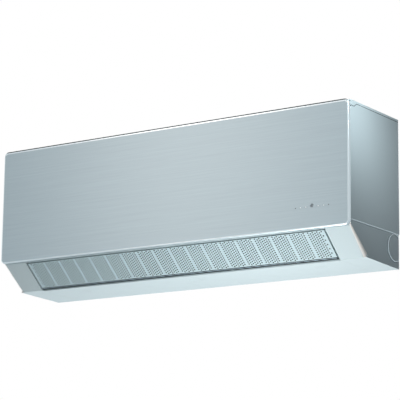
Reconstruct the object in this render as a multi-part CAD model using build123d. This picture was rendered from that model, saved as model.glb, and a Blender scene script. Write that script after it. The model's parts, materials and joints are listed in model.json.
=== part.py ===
# Wall-mounted air conditioner, indoor unit, in millimetres.
# +X is to the right seen from the room, +Y runs into the wall and +Z is up.
# The origin is on the wall plane, at the centre of the wall plate's four screw holes.
import os
from math import cos, hypot, pi, radians, sin

from build123d import *

os.makedirs("parts", exist_ok=True)

# A setback is measured from the unit's front, a rise from its bottom, a drop from its top, and an
# inset from its end.

# Overall sizes
UNIT_W = 850.0
UNIT_H = 300.0
UNIT_D = 198.0
CHIN_H = 52.0

# Walls, seams and running gaps
WALL = 2.5
SEAM = 0.4
SEAT = 0.3
PIN_GAP = 0.08

# Outer body, behind and below the front panel
SIDE_INSET = 1.5
CHIN_TOP_SETBACK = 10.0
CREASE_SETBACK = 68.0
CREASE_RISE = 5.0
SIDE_SEAM_RISE = 68.0
BODY_FRONT_SETBACK = 7.0
NOTCH_SETBACK = 11.0
GRILLE_T = 2.2
NOTCH_H = 15.0
LOWER_BACK_GAP = 2.5
SIDE_CLIP_Z = (-40.0, 20.0, 80.0)
SIDE_CLIP_L = 10.0
FLANGE_H = 30.0
CORNER_R_TOP = 3.5
CORNER_R_CREASE = 9.0
CHIN_WALL = 4.5
UNDER_EDGE = 6.0

# Front panel
SKIN_T = 1.2
PANEL_T = 6.5
PANEL_CORNER_R = 10.0
PANEL_EDGE_R = 2.2
SKIN_GAP = 0.2
FRAME_FLOOR_T = 2.0
FRAME_RIM = 14.0
FRAME_RIB_T = 3.0
FRAME_RIB_INSET = 64.5
FRAME_RIB_RISES = (80.0, 160.0)
FRAME_T = 4.6
HINGE_SETBACK = 4.2
HINGE_DROP = 4.5
HINGE_INSET = 20.0
HINGE_PIN_R = 1.5
HINGE_EAR_R = 2.4
HINGE_EAR_W = 7.0
HINGE_POCKET_W = 12.0
HINGE_POCKET_H = 24.0

# Indicators, measured from the panel's centre line and lower edge
LIGHT_INSET = 80.5
LIGHT_Z = 42.0
LIGHT_RING_RISE = 2.0
LIGHT_OFFSETS = (-36.5, -25.5, -13.5, 13.5, 25.5, 36.5)
LIGHT_R = 1.1
RING_R = 3.6
RING_W = 0.9

# Lid and filters
LID_LIP = 4.5
LID_FRONT_H = 11.0
LID_STEP_SETBACK = 25.0
LID_RECESS = 8.0
FILTER_T = 2.6
FILTER_SHEET_T = 0.8
FILTER_END_GAP = 12.0
FILTER_GAP = 8.0
FILTER_BACK_Y = -24.0
FILTER_SETBACK = 13.6
FILTER_PAN_GAP = 2.0
FILTER_PARTS = 4
FILTER_CROSS_DROP = 100.0
FILTER_CROSS_SETBACK = 93.0
FILTER_BORDER = 8.0
FILTER_RIB = 3.0
INTAKE_SLOTS = 11

# Cross-flow fan
FAN_SETBACK = 106.0
FAN_RISE = 115.0
FAN_R = 46.0
FAN_BLADE_DEPTH = 9.0
FAN_BLADE_T = 1.0
FAN_BLADES = 34
FAN_END_GAP = 6.0
FAN_SECTIONS = 6
FAN_DISC_T = 2.2
SHAFT_R = 4.0
SHAFT_L = 21.0
MOTOR_R = 42.0
MOTOR_L = 42.0
MOTOR_SHAFT_L = 24.0
BEARING_R = 10.0
BEARING_L = 8.0
STRAP_T = 2.0
STRAP_W = 22.0

# Chassis
BACK_Y = -9.0
BACK_T = 2.5
CHASSIS_DROP = 16.0
DUCT_INSET = 59.0
END_WALL_T = 3.0
END_WALL_OVER_FAN = 49.0
SCROLL_SHIFT = 2.0
SCROLL_R = 54.0
SCROLL_TOP_ANGLE = 40.0
SCROLL_LEAVE_ANGLE = -47.0
SCROLL_END_RISE = 10.0
TROUGH_FRONT_Y = -52.0
TROUGH_OVER_FAN = 39.0
CHANNEL_Y = -52.0
SHELF_T = 2.5
SHELF_BACK_Y = -50.0
SHELF_SETBACK = 56.0
RIB_X = (-288.0, -140.0, 2.5, 140.0, 296.0)
RIB_T = 3.0

# Outlet flap
FLAP_START = 4.0
FLAP_END = 77.0
FLAP_T = 3.0
FLAP_RECESS = 0.8
FLAP_GAP = 2.5
FLAP_CORNER_R = 3.5
FLAP_RIB_ALONG = (12.0, 34.0)
FLAP_RIB_T = 2.0
FLAP_RIB_H = 3.0
FLAP_RIB_END = 12.0
FLAP_PIVOT_ALONG = 66.0
FLAP_PIVOT_DEPTH = 10.0
FLAP_ARM_T = 3.0
FLAP_PIN_R = 2.5
FLAP_PIN_L = 11.0
OUTLET_LIP = 1.5
STEPPER_R = 12.0
STEPPER_L = 16.0
STEPPER_OFFSET = 7.0
BUSH_R = 5.0

# Upright vanes
VANE_END_GAP = 16.0
VANES_PER_SET = 5
VANE_T = 2.0
VANE_PIVOT_ALONG = 50.0
VANE_FOOT = 1.5
VANE_H = 62.0
VANE_FOOT_ALONG = (24.0, 60.0)
VANE_TOP_ALONG = (20.0, 42.0)
VANE_PIN_R = 1.9
VANE_PIN_L = 7.0
LINK_REACH = 20.0
LINK_PIN_R = 1.4
LINK_H = 11.5
LINK_T = 3.0
LINK_W = 5.4
LINK_WINDOW = 7.0
LINK_END = 6.0

# Evaporator
COIL_END_GAP = 16.0
COIL_T = 24.0
COIL_TUBE_R = 3.5
COIL_ROW = 10.5
COIL_PLATE_T = 1.2
COIL_FRONT_SETBACK = 35.0
COIL_FRONT_DROP = 106.0
COIL_IN_PAN = 4.0
COIL_UPPER_SETBACK = 38.0
COIL_UPPER_DROP = 98.0
COIL_RIDGE_DROP = 39.0
COIL_RIDGE_FRONT = 21.0
COIL_REAR_Y = -37.5
COIL_REAR_LIFT = 21.0
COIL_REAR_DROP = 41.5
COIL_REAR_BACK = 1.5
LUG_W = 14.0
LUG_DROP = 24.0
LUG_BEND = 4.0
FOOT_W = 10.0
FOOT_FRONT = 8.5
FOOT_H = 16.0
FIN_GROOVES = 28
FIN_GROOVE_W = 1.2
FIN_GROOVE_D = 1.0

# Drain pan
PAN_SETBACK = 17.5
PAN_FLOOR_RISE = 96.0
PAN_DEPTH = 16.0
PAN_T = 2.0
TONGUE_GAP = 6.5
TONGUE_DROP = 2.0
SPIGOT_R = 8.0
SPIGOT_BORE_R = 6.0
SPIGOT_L = 22.0
SPIGOT_SETBACK = 36.0
SPIGOT_UNDER_PAN = 8.0

# Pipes
GAS_R = 4.76
LIQUID_R = 3.175
PIPE_BEND_R = 18.0
PIPE_Y = -27.0
PIPE_SPACING = 18.0
PIPE_SLOPE_H = 60.0
GAS_START = 33.0
LIQUID_START = 12.0
GAS_SIDE_GAP = 19.7
GAS_RISE = 23.0
LIQUID_RISE = 46.0
GAS_END_X = 40.0
LIQUID_END_X = 90.0
GAS_THREAD_R = 7.94
LIQUID_THREAD_R = 5.56
GAS_HEX = 22.0
LIQUID_HEX = 17.0
HEX_L = 9.0
THREAD_L = 14.0
CLAMP_X = 200.0
CLAMP_L = 18.0
CLAMP_WALL = 4.0

# Electrics
BOX_DUCT_GAP = 6.0
BOX_SIDE_GAP = 2.7
BOX_SETBACK = 22.0
BOX_Y1 = -66.0
BOX_DROP = 22.0
BOX_WALL = 1.8
BOARD_T = 1.6
BOARD_STAND = 5.0
BOARD_RELAYS = (46.0, 26.0)

# Wall plate
PLATE_HALF_W = 268.0
PLATE_TOP_Z = 96.0
PLATE_BOTTOM_Z = -74.0
PLATE_T = 1.5
WALL_HOLE_X = 225.0
WALL_HOLE_Z = 60.0
WALL_HOLE_R = 3.0
HOOK_X = 150.0
HOOK_W = 28.0
HOOK_H = 8.0
HOOK_DROP = 4.0
HOOK_REACH_DOWN = 14.0
KNOCKOUT_R = 27.5
KNOCKOUT_Y = -20.0
KNOCKOUT_RISE = 40.0
KNOCKOUT_TAB_ANGLE = 25.0
KNOCKOUT_LINE = 1.2
KNOCKOUT_DEPTH = 0.8

# Screw covers on the underside
CAP_Y = -85.0
CAP_D = 14.0
CAP_T = 1.5
CAP_W = 30.0
CAP_GAP = 0.4
CAP_HINGE_INSET = 1.0
CAP_HINGE_RISE = 0.75
CAP_HINGE_R = 0.45
CAP_HINGE_L = 1.4
CAP_SWEEP_R = 1.4

# Test button behind the panel
BUTTON_INSET = 35.0
BUTTON_DROP = 54.0
BUTTON_R = 3.5
BUTTON_STAND = 2.4
BUTTON_FLANGE = 1.2

# Worked out from the sizes above
HALF_W = UNIT_W / 2
TOP_Z = UNIT_H / 2
BOTTOM_Z = -UNIT_H / 2
PANEL_BOTTOM_Z = BOTTOM_Z + CREASE_RISE + CHIN_H
PANEL_H = TOP_Z - PANEL_BOTTOM_Z
SIDE_X = HALF_W - SIDE_INSET
FRONT_Y = -UNIT_D
PANEL_BACK_Y = FRONT_Y + PANEL_T
BODY_FRONT_Y = FRONT_Y + BODY_FRONT_SETBACK
CASE_FRONT_Y = FRONT_Y + NOTCH_SETBACK
CHIN_Y = FRONT_Y + CHIN_TOP_SETBACK
CREASE_Y = FRONT_Y + CREASE_SETBACK
CREASE_Z = BOTTOM_Z + CREASE_RISE
UNDER_EDGE_Y = CREASE_Y + UNDER_EDGE
SEAM_Z = BOTTOM_Z + SIDE_SEAM_RISE
CHIN_LEN = hypot(CREASE_Y - CHIN_Y, CREASE_Z - PANEL_BOTTOM_Z)
CHIN_DIR = ((CREASE_Y - CHIN_Y) / CHIN_LEN, (CREASE_Z - PANEL_BOTTOM_Z) / CHIN_LEN)
CHIN_IN = (-CHIN_DIR[1], CHIN_DIR[0])
HINGE_X = HALF_W - HINGE_INSET
HINGE_Y = FRONT_Y + HINGE_SETBACK
HINGE_Z = TOP_Z - HINGE_DROP
LIGHT_X = HALF_W - LIGHT_INSET
FRAME_FRONT_Y = FRONT_Y + SKIN_T + SKIN_GAP
FRAME_POCKET_Y = FRAME_FRONT_Y + FRAME_FLOOR_T
CHASSIS_HALF_W = SIDE_X - WALL - SEAT
CHASSIS_TOP_Z = TOP_Z - CHASSIS_DROP
CHANNEL_TOP_Z = SEAM_Z
DUCT_HALF_W = HALF_W - DUCT_INSET
FAN_Y = FRONT_Y + FAN_SETBACK
FAN_Z = BOTTOM_Z + FAN_RISE
FAN_HALF_L = DUCT_HALF_W - FAN_END_GAP
SCROLL_Y = FAN_Y + SCROLL_SHIFT
SCROLL_Z = FAN_Z - SCROLL_SHIFT
SCROLL_END_Z = BOTTOM_Z + SCROLL_END_RISE
END_WALL_TOP_Z = FAN_Z + END_WALL_OVER_FAN
TROUGH_FLOOR_Z = FAN_Z + TROUGH_OVER_FAN
SHELF_TOP_Z = END_WALL_TOP_Z + SHELF_T
SHELF_FRONT_Y = FRONT_Y + SHELF_SETBACK
PAN_FRONT_Y = FRONT_Y + PAN_SETBACK
PAN_BACK_Y = FAN_Y - FAN_R - TONGUE_GAP
PAN_FLOOR_Z = BOTTOM_Z + PAN_FLOOR_RISE
PAN_RIM_Z = PAN_FLOOR_Z + PAN_DEPTH
TONGUE_TOP_Z = PAN_RIM_Z - TONGUE_DROP
SPIGOT_Y = FRONT_Y + SPIGOT_SETBACK
SPIGOT_Z = PAN_FLOOR_Z - SPIGOT_UNDER_PAN
FLAP_HALF_W = DUCT_HALF_W - FLAP_GAP
VANE_PITCH = (DUCT_HALF_W - VANE_END_GAP) / VANES_PER_SET
LID_STEP_Y = FRONT_Y + LID_STEP_SETBACK
FILTER_W = DUCT_HALF_W - FILTER_END_GAP - FILTER_GAP / 2
FILTER_FRONT_Y = FRONT_Y + FILTER_SETBACK
FILTER_BOTTOM_Z = PAN_RIM_Z + FILTER_PAN_GAP
COIL_HALF_L = DUCT_HALF_W - COIL_END_GAP
COIL_FRONT_Y = FRONT_Y + COIL_FRONT_SETBACK
COIL_FRONT = ((COIL_FRONT_Y, PAN_RIM_Z - COIL_IN_PAN), (COIL_FRONT_Y, TOP_Z - COIL_FRONT_DROP))
COIL_UPPER = (
    (FRONT_Y + COIL_UPPER_SETBACK, TOP_Z - COIL_UPPER_DROP),
    (FAN_Y - COIL_RIDGE_FRONT, TOP_Z - COIL_RIDGE_DROP),
)
COIL_REAR = (
    (COIL_REAR_Y, TROUGH_FLOOR_Z + COIL_REAR_LIFT),
    (FAN_Y + COIL_REAR_BACK, TOP_Z - COIL_REAR_DROP),
)
GAS_X = CHASSIS_HALF_W - GAS_SIDE_GAP
LIQUID_X = GAS_X - PIPE_SPACING
GAS_Z = BOTTOM_Z + GAS_RISE
LIQUID_Z = BOTTOM_Z + LIQUID_RISE
BOX_X0 = DUCT_HALF_W + BOX_DUCT_GAP
BOX_X1 = CHASSIS_HALF_W - BOX_SIDE_GAP
BOX_Y0 = FRONT_Y + BOX_SETBACK
BOX_Z0 = SHELF_TOP_Z + SEAT
BOX_TOP_Z = TOP_Z - BOX_DROP
BUTTON_X = HALF_W - BUTTON_INSET
BUTTON_Z = TOP_Z - BUTTON_DROP
CAP_X = RIB_X[::2]
HOOK_TOP = PLATE_TOP_Z - HOOK_DROP


# Helpers: solids between planes, along X, and in the duct's own directions
def block(x0, x1, y0, y1, z0, z1):
    """A box between two corners."""
    return Pos((x0 + x1) / 2, (y0 + y1) / 2, (z0 + z1) / 2) * Box(x1 - x0, y1 - y0, z1 - z0)


def prism(points, x0, x1):
    """A polygon of (y, z) points, stretched from x0 to x1."""
    outline = make_face(Polyline(*points, close=True))
    return extrude(Plane.YZ.offset(x0) * outline, x1 - x0)


def rod_x(y, z, radius, x0, x1):
    """A round bar along X."""
    return Pos((x0 + x1) / 2, y, z) * Rot(0, 90, 0) * Cylinder(radius, x1 - x0)


def rod(start, direction, radius, length):
    """A round bar from a point, in a direction."""
    base = Plane(origin=start, z_dir=direction)
    return base * Cylinder(radius, length, align=(Align.CENTER, Align.CENTER, Align.MIN))


def mirrored(shape):
    """The same piece on the other side of the unit."""
    return mirror(shape, about=Plane.YZ)


def merged(shapes):
    """Several solids fused into one."""
    first, *rest = shapes
    return first.fuse(*rest) if rest else first


def save(shape, node):
    """Write one sub-part."""
    export_step(shape, f"parts/{node}.step")


def chin(along, depth):
    """(y, z) at a distance down the chin from the panel, and inward from its face."""
    return (
        CHIN_Y + CHIN_DIR[0] * along + CHIN_IN[0] * depth,
        PANEL_BOTTOM_Z + CHIN_DIR[1] * along + CHIN_IN[1] * depth,
    )


def underside(y, rise=0.0):
    """Height of the underside at a depth y, with a rise above it."""
    return CREASE_Z + (BOTTOM_Z - CREASE_Z) * (y - CREASE_Y) / -CREASE_Y + rise


# The scroll's straight run leaves its arc on the tangent and ends at the outlet's lower lip.
LEAVE = radians(SCROLL_LEAVE_ANGLE)
RUN_DIR = (sin(LEAVE), -cos(LEAVE))
RUN_START = (SCROLL_Y + SCROLL_R * cos(LEAVE), SCROLL_Z + SCROLL_R * sin(LEAVE))
RUN_LEN = (SCROLL_END_Z - RUN_START[1]) / RUN_DIR[1]
RUN_END = (RUN_START[0] + RUN_DIR[0] * RUN_LEN, SCROLL_END_Z)
UP_DIR = (RUN_DIR[1], -RUN_DIR[0])


def duct(along, height):
    """(y, z) at a distance upstream of the outlet's lower lip, and above the duct's lower wall."""
    return (
        RUN_END[0] - RUN_DIR[0] * along + UP_DIR[0] * height,
        RUN_END[1] - RUN_DIR[1] * along + UP_DIR[1] * height,
    )


FLAP_PIVOT = chin(FLAP_PIVOT_ALONG, FLAP_PIVOT_DEPTH)
VANE_X = [VANE_PITCH * (i + 0.5) for i in range(VANES_PER_SET)][::-1]


# Wall plate: a pressed sheet with four screw holes, two hooks, a stiffening rib and cable windows
def wall_plate():
    sheet = block(-PLATE_HALF_W, PLATE_HALF_W, -PLATE_T, 0, PLATE_BOTTOM_Z, PLATE_TOP_Z)
    sheet = fillet(sheet.edges().filter_by(Axis.Y), 8.0)
    for x in (-WALL_HOLE_X, WALL_HOLE_X):
        for z in (-WALL_HOLE_Z, WALL_HOLE_Z):
            sheet -= rod((x, -2 * PLATE_T, z), (0, 1, 0), WALL_HOLE_R, 3 * PLATE_T)
    window = block(-90, 90, -2 * PLATE_T, PLATE_T, -30, 34)
    sheet -= fillet(window.edges().filter_by(Axis.Y), 6.0)
    foot = -PLATE_T + 0.01
    hook_face = BACK_Y + BACK_T - SEAT
    hook_back = BACK_Y - SEAT
    profile = [
        (foot, HOOK_TOP - HOOK_REACH_DOWN),
        (foot, HOOK_TOP - HOOK_REACH_DOWN + PLATE_T),
        (hook_back - PLATE_T, HOOK_TOP - HOOK_REACH_DOWN + PLATE_T),
        (hook_back - PLATE_T, HOOK_TOP - HOOK_REACH_DOWN),
    ]
    lip = [
        (hook_back, HOOK_TOP - HOOK_REACH_DOWN),
        (hook_back, HOOK_TOP - HOOK_REACH_DOWN + PLATE_T + HOOK_H),
        (hook_back - PLATE_T, HOOK_TOP - HOOK_REACH_DOWN + PLATE_T + HOOK_H),
        (hook_back - PLATE_T, HOOK_TOP - HOOK_REACH_DOWN),
    ]
    for x in (-HOOK_X, HOOK_X):
        sheet += prism(profile, x - HOOK_W / 2, x + HOOK_W / 2)
        sheet += prism(lip, x - HOOK_W / 2, x + HOOK_W / 2)
    for z in (PLATE_TOP_Z - 8, PLATE_BOTTOM_Z + 8):
        sheet += block(-PLATE_HALF_W + 30, PLATE_HALF_W - 30, hook_face + 1.5, foot, z - 3, z + 3)
    return sheet


# Chassis: back wall, fan scroll, pipe channel, drip trough, end walls and ribs, moulded in one
def scroll_wall():
    def arc(radius):
        top = radians(SCROLL_TOP_ANGLE)
        middle = (top + LEAVE) / 2
        at = [
            (SCROLL_Y + radius * cos(a), SCROLL_Z + radius * sin(a)) for a in (top, middle, LEAVE)
        ]
        return at

    inner, outer = arc(SCROLL_R), arc(SCROLL_R + WALL)
    end_in = RUN_END
    end_out = duct(0, -WALL)
    outline = make_face(
        [
            ThreePointArc(*inner),
            Line(inner[2], end_in),
            Line(end_in, end_out),
            Line(end_out, outer[2]),
            ThreePointArc(*outer),
            Line(outer[0], inner[0]),
        ]
    )
    return extrude(Plane.YZ.offset(-DUCT_HALF_W - 1) * outline, 2 * DUCT_HALF_W + 2)


def chassis():
    half = CHASSIS_HALF_W
    back_front = BACK_Y
    back = block(-half, half, back_front, BACK_Y + BACK_T, CHANNEL_TOP_Z, CHASSIS_TOP_Z)
    top_rim = block(-half, half, back_front, -PLATE_T, CHASSIS_TOP_Z - WALL, CHASSIS_TOP_Z)
    shell = [back, top_rim, scroll_wall()]
    for x in (-half, half - WALL):
        shell.append(block(x, x + WALL, back_front, -PLATE_T, CHANNEL_TOP_Z, CHASSIS_TOP_Z))
    scroll_top = SCROLL_Z + (SCROLL_R + WALL) * sin(radians(SCROLL_TOP_ANGLE))
    scroll_back = SCROLL_Y + SCROLL_R * cos(radians(SCROLL_TOP_ANGLE))
    trough = [
        (scroll_back, scroll_top - 2),
        (TROUGH_FRONT_Y, TROUGH_FLOOR_Z),
        (TROUGH_FRONT_Y, END_WALL_TOP_Z),
        (TROUGH_FRONT_Y + WALL, END_WALL_TOP_Z),
        (TROUGH_FRONT_Y + WALL, TROUGH_FLOOR_Z + WALL),
        (BACK_Y + 1, TROUGH_FLOOR_Z + WALL),
        (BACK_Y + 1, TROUGH_FLOOR_Z),
        (scroll_back + WALL, scroll_top - 2),
    ]
    shell.append(prism(trough, -DUCT_HALF_W - 1, DUCT_HALF_W + 1))
    roof_top = CHANNEL_TOP_Z + WALL
    shell.append(block(-half, DUCT_HALF_W, CHANNEL_Y - 6, BACK_Y + 1, CHANNEL_TOP_Z, roof_top))
    shell.append(block(-half, DUCT_HALF_W, CHANNEL_Y, CHANNEL_Y + WALL, BOTTOM_Z, CHANNEL_TOP_Z + 1))
    end_wall = [
        (BACK_Y + 1, END_WALL_TOP_Z),
        (PAN_BACK_Y + SEAT + 2, END_WALL_TOP_Z),
        (PAN_BACK_Y + SEAT + 1, END_WALL_TOP_Z - 8),
        (PAN_BACK_Y + SEAT + 1, PAN_RIM_Z - 26),
        chin(2, CHIN_WALL + SEAT),
        chin(CHIN_LEN - 2, CHIN_WALL + SEAT),
        duct(2, -WALL),
        (RUN_START[0] + 1, CHANNEL_TOP_Z + 1),
        (BACK_Y + 1, CHANNEL_TOP_Z + 1),
    ]
    for x in (-DUCT_HALF_W - END_WALL_T, DUCT_HALF_W):
        shell.append(prism(end_wall, x, x + END_WALL_T))
    shelf_bottom = END_WALL_TOP_Z - 0.5
    shell.append(block(DUCT_HALF_W, BOX_X1, SHELF_FRONT_Y, SHELF_BACK_Y, shelf_bottom, SHELF_TOP_Z))
    foot_x = DUCT_HALF_W + END_WALL_T
    shell.append(block(DUCT_HALF_W, foot_x, SHELF_FRONT_Y, SHELF_BACK_Y, shelf_bottom - 14, SHELF_TOP_Z))
    for x in RIB_X:
        rib = [
            duct(-4, -0.5),
            duct(60, -0.5),
            (CHANNEL_Y + 0.5, CHANNEL_TOP_Z),
            (CHANNEL_Y + 0.5, BOTTOM_Z),
            (RUN_END[0], BOTTOM_Z),
        ]
        shell.append(prism(rib, x - RIB_T / 2, x + RIB_T / 2))
    for x in CAP_X:
        top = duct_wall_z(CAP_Y)
        shell.append(rod((x, CAP_Y, BOTTOM_Z), (0, 0, 1), 5.0, top - BOTTOM_Z))
    whole = merged(shell)
    below = [
        (-UNIT_D, underside(-UNIT_D, WALL + SEAT)),
        (0, underside(0, WALL + SEAT)),
        (0, BOTTOM_Z - 10),
        (-UNIT_D, BOTTOM_Z - 10),
    ]
    whole -= prism(below, -HALF_W, HALF_W)
    for x in (-DUCT_HALF_W - END_WALL_T - 1, DUCT_HALF_W - 1):
        whole -= rod_x(FAN_Y, FAN_Z, SHAFT_R + 4.5, x, x + END_WALL_T + 2)
        whole -= rod_x(*FLAP_PIVOT, BUSH_R, x, x + END_WALL_T + 2)
    for side in (-1, 1):
        for x in VANE_X:
            start = duct(VANE_PIVOT_ALONG, -WALL - 12)
            whole -= rod(
                (side * x, *start), (0, *UP_DIR), VANE_PIN_R + PIN_GAP, WALL + 13
            )
    for x in CAP_X:
        whole -= rod((x, CAP_Y, BOTTOM_Z), (0, 0, 1), 1.3, 20)
    for x in (-HOOK_X, HOOK_X):
        gap_w = HOOK_W / 2 + 2
        hook_z = HOOK_TOP - HOOK_REACH_DOWN
        slot_top = hook_z + PLATE_T + HOOK_H + 2
        whole -= block(x - gap_w, x + gap_w, BACK_Y - 1, 0, hook_z - SEAT, slot_top)
    return whole


def duct_wall_z(y):
    """Height of the lower duct wall's underside at a depth y."""
    start = duct(0, -WALL)
    return start[1] + (y - start[0]) * RUN_DIR[1] / RUN_DIR[0] + 1


# Casing: chin with the outlet, lower side walls, outer underside and the flange behind the panel
def corner_cut(side):
    """The round that widens down the chin's outer corner, as what it takes away."""
    faces = []
    for along, radius in ((-2.0, CORNER_R_TOP), (CHIN_LEN, CORNER_R_CREASE)):
        y, z = chin(along, 0)
        plane = Plane(
            origin=(side * SIDE_X, y, z), x_dir=(-side, 0, 0), z_dir=(0, *CHIN_DIR)
        )
        depth = 1.0 if plane.y_dir.dot(Vector(0, *CHIN_IN)) > 0 else -1.0
        mid = radius * (1 - cos(pi / 4))
        spare = 1.0
        outline = [
            Polyline(
                (0, depth * radius), (-spare, depth * radius), (-spare, -depth * spare),
                (radius, -depth * spare), (radius, 0),
            ),
            ThreePointArc((radius, 0), (mid, depth * mid), (0, depth * radius)),
        ]
        faces.append(plane * make_face(outline))
    return loft(faces, ruled=True)


def front_casing():
    outer = [
        (CHIN_Y, SEAM_Z),
        (CHIN_Y, PANEL_BOTTOM_Z),
        (CREASE_Y, CREASE_Z),
        (-LOWER_BACK_GAP, underside(-LOWER_BACK_GAP)),
        (-LOWER_BACK_GAP, SEAM_Z),
    ]
    body = prism(outer, -SIDE_X, SIDE_X)
    inner_top = chin(0, CHIN_WALL)
    inner = [
        (CHIN_Y + WALL, SEAM_Z + 1),
        (CHIN_Y + WALL, inner_top[1]),
        chin(CHIN_LEN + 1.5, CHIN_WALL),
        (CREASE_Y + 8, underside(CREASE_Y + 8, WALL)),
        (1, underside(1, WALL)),
        (1, SEAM_Z + 1),
    ]
    body -= prism(inner, -SIDE_X + WALL, SIDE_X - WALL)
    mouth_half = DUCT_HALF_W
    mouth = [
        chin(OUTLET_LIP, -1),
        chin(CHIN_LEN + 12, -12),
        (UNDER_EDGE_Y, BOTTOM_Z - 5),
        (UNDER_EDGE_Y, CREASE_Z + 12),
        chin(CHIN_LEN - 8, CHIN_WALL + 6),
        chin(OUTLET_LIP, CHIN_WALL + 1),
    ]
    body -= prism(mouth, -mouth_half, mouth_half)
    centre = [
        (UNDER_EDGE_Y - 0.5, BOTTOM_Z - 5),
        (5, BOTTOM_Z - 5),
        (5, CREASE_Z + 12),
        (UNDER_EDGE_Y - 0.5, CREASE_Z + 12),
    ]
    body -= prism(centre, -mouth_half, mouth_half)
    flange_top = PANEL_BOTTOM_Z + FLANGE_H
    knockout_z = BOTTOM_Z + KNOCKOUT_RISE
    tab_angle = radians(KNOCKOUT_TAB_ANGLE)
    wide = SIDE_X - WALL + 1
    narrow = SIDE_X - WALL - SEAT
    body += block(-wide, wide, CHIN_Y, CHIN_Y + WALL, PANEL_BOTTOM_Z, SEAM_Z)
    body += block(-narrow, narrow, CHIN_Y, CHIN_Y + WALL, SEAM_Z - 1, flange_top)
    for side in (-1, 1):
        body -= corner_cut(side)
        centre = (side * (SIDE_X + 1), KNOCKOUT_Y, knockout_z)
        ring = rod(centre, (-side, 0, 0), KNOCKOUT_R, KNOCKOUT_DEPTH + 1)
        ring -= rod(centre, (-side, 0, 0), KNOCKOUT_R - KNOCKOUT_LINE, KNOCKOUT_DEPTH + 1)
        body -= ring
        x0, x1 = sorted((side * (SIDE_X - WALL - 1), side * (SIDE_X + 0.9)))
        tab_y = KNOCKOUT_Y - KNOCKOUT_R * cos(tab_angle)
        tab_z = knockout_z - KNOCKOUT_R * sin(tab_angle)
        tab = block(x0, x1, tab_y - 2, tab_y + 2, tab_z - 4, tab_z + 4)
        body += tab & prism(outer, -HALF_W, HALF_W)
    return body


# Bottom cover: the middle of the underside, with recesses for the three screw covers
def bottom_cover():
    half = DUCT_HALF_W - SEAM
    outline = [
        (UNDER_EDGE_Y, underside(UNDER_EDGE_Y)),
        (-LOWER_BACK_GAP, underside(-LOWER_BACK_GAP)),
        (-LOWER_BACK_GAP, underside(-LOWER_BACK_GAP, WALL)),
        (UNDER_EDGE_Y, underside(UNDER_EDGE_Y, WALL)),
    ]
    cover = prism(outline, -half, half)
    for x in CAP_X:
        cover -= cap_block(x, CAP_GAP, -1.0)
        cover -= rod((x, CAP_Y, BOTTOM_Z), (0, 0, 1), 1.9, 10)
        cover -= cap_pins(x, CAP_HINGE_R + PIN_GAP, CAP_HINGE_L + CAP_GAP / 2)
        cover -= cap_pins(x, CAP_SWEEP_R, CAP_GAP)
    return cover


def cap_block(x, gap, below=0.0):
    """A screw cover's own block, or with a gap the recess that it lies in."""
    y0, y1 = CAP_Y - CAP_D / 2, CAP_Y + CAP_D / 2
    outline = [
        (y0 - gap, underside(y0 - gap, below)),
        (y1 + gap, underside(y1 + gap, below)),
        (y1 + gap, underside(y1 + gap, CAP_T + gap / 4)),
        (y0 - gap, underside(y0 - gap, CAP_T + gap / 4)),
    ]
    return prism(outline, x - CAP_W / 2 - gap, x + CAP_W / 2 + gap)


def cap_pins(x, radius, past):
    """A bar along a screw cover's hinge axis, past both of its ends."""
    y = CAP_Y + CAP_D / 2 - CAP_HINGE_INSET
    return rod_x(y, underside(y, CAP_HINGE_RISE), radius, x - CAP_W / 2 - past, x + CAP_W / 2 + past)


def screw_cover(x):
    return cap_block(x, 0.0) + cap_pins(x, CAP_HINGE_R, CAP_HINGE_L)


# Upper body: side covers and the lid that laps over them
def side_outline():
    seam_y0, seam_z = LID_STEP_Y + 8, TOP_Z - LID_LIP - SEAM
    return [
        (BODY_FRONT_Y, SEAM_Z + SEAM),
        (0, SEAM_Z + SEAM),
        (0, seam_z),
        (seam_y0, seam_z),
        (seam_y0 - 4.5, seam_z - 1.6),
        (LID_STEP_Y, TOP_Z - LID_FRONT_H - SEAM),
        (CASE_FRONT_Y, TOP_Z - LID_FRONT_H - SEAM),
        (CASE_FRONT_Y, TOP_Z - NOTCH_H),
        (BODY_FRONT_Y, TOP_Z - NOTCH_H - 2),
    ]


def side_cover(side):
    x0, x1 = sorted((side * (SIDE_X - WALL), side * SIDE_X))
    cover = prism(side_outline(), x0, x1)
    lower_edge = cover.edges().filter_by(Axis.Y).group_by(Axis.Z)[0]
    outer_edge = lower_edge.sort_by(Axis.X)[-1 if side > 0 else 0]
    cover = chamfer(outer_edge, 0.8)
    x0, x1 = sorted((side * (CHASSIS_HALF_W - SIDE_CLIP_L), side * (SIDE_X - WALL)))
    for z in SIDE_CLIP_Z:
        cover += block(x0, x1, BACK_Y - SEAT - 2, BACK_Y - SEAT, z - 6, z + 6)
    return cover


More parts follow.
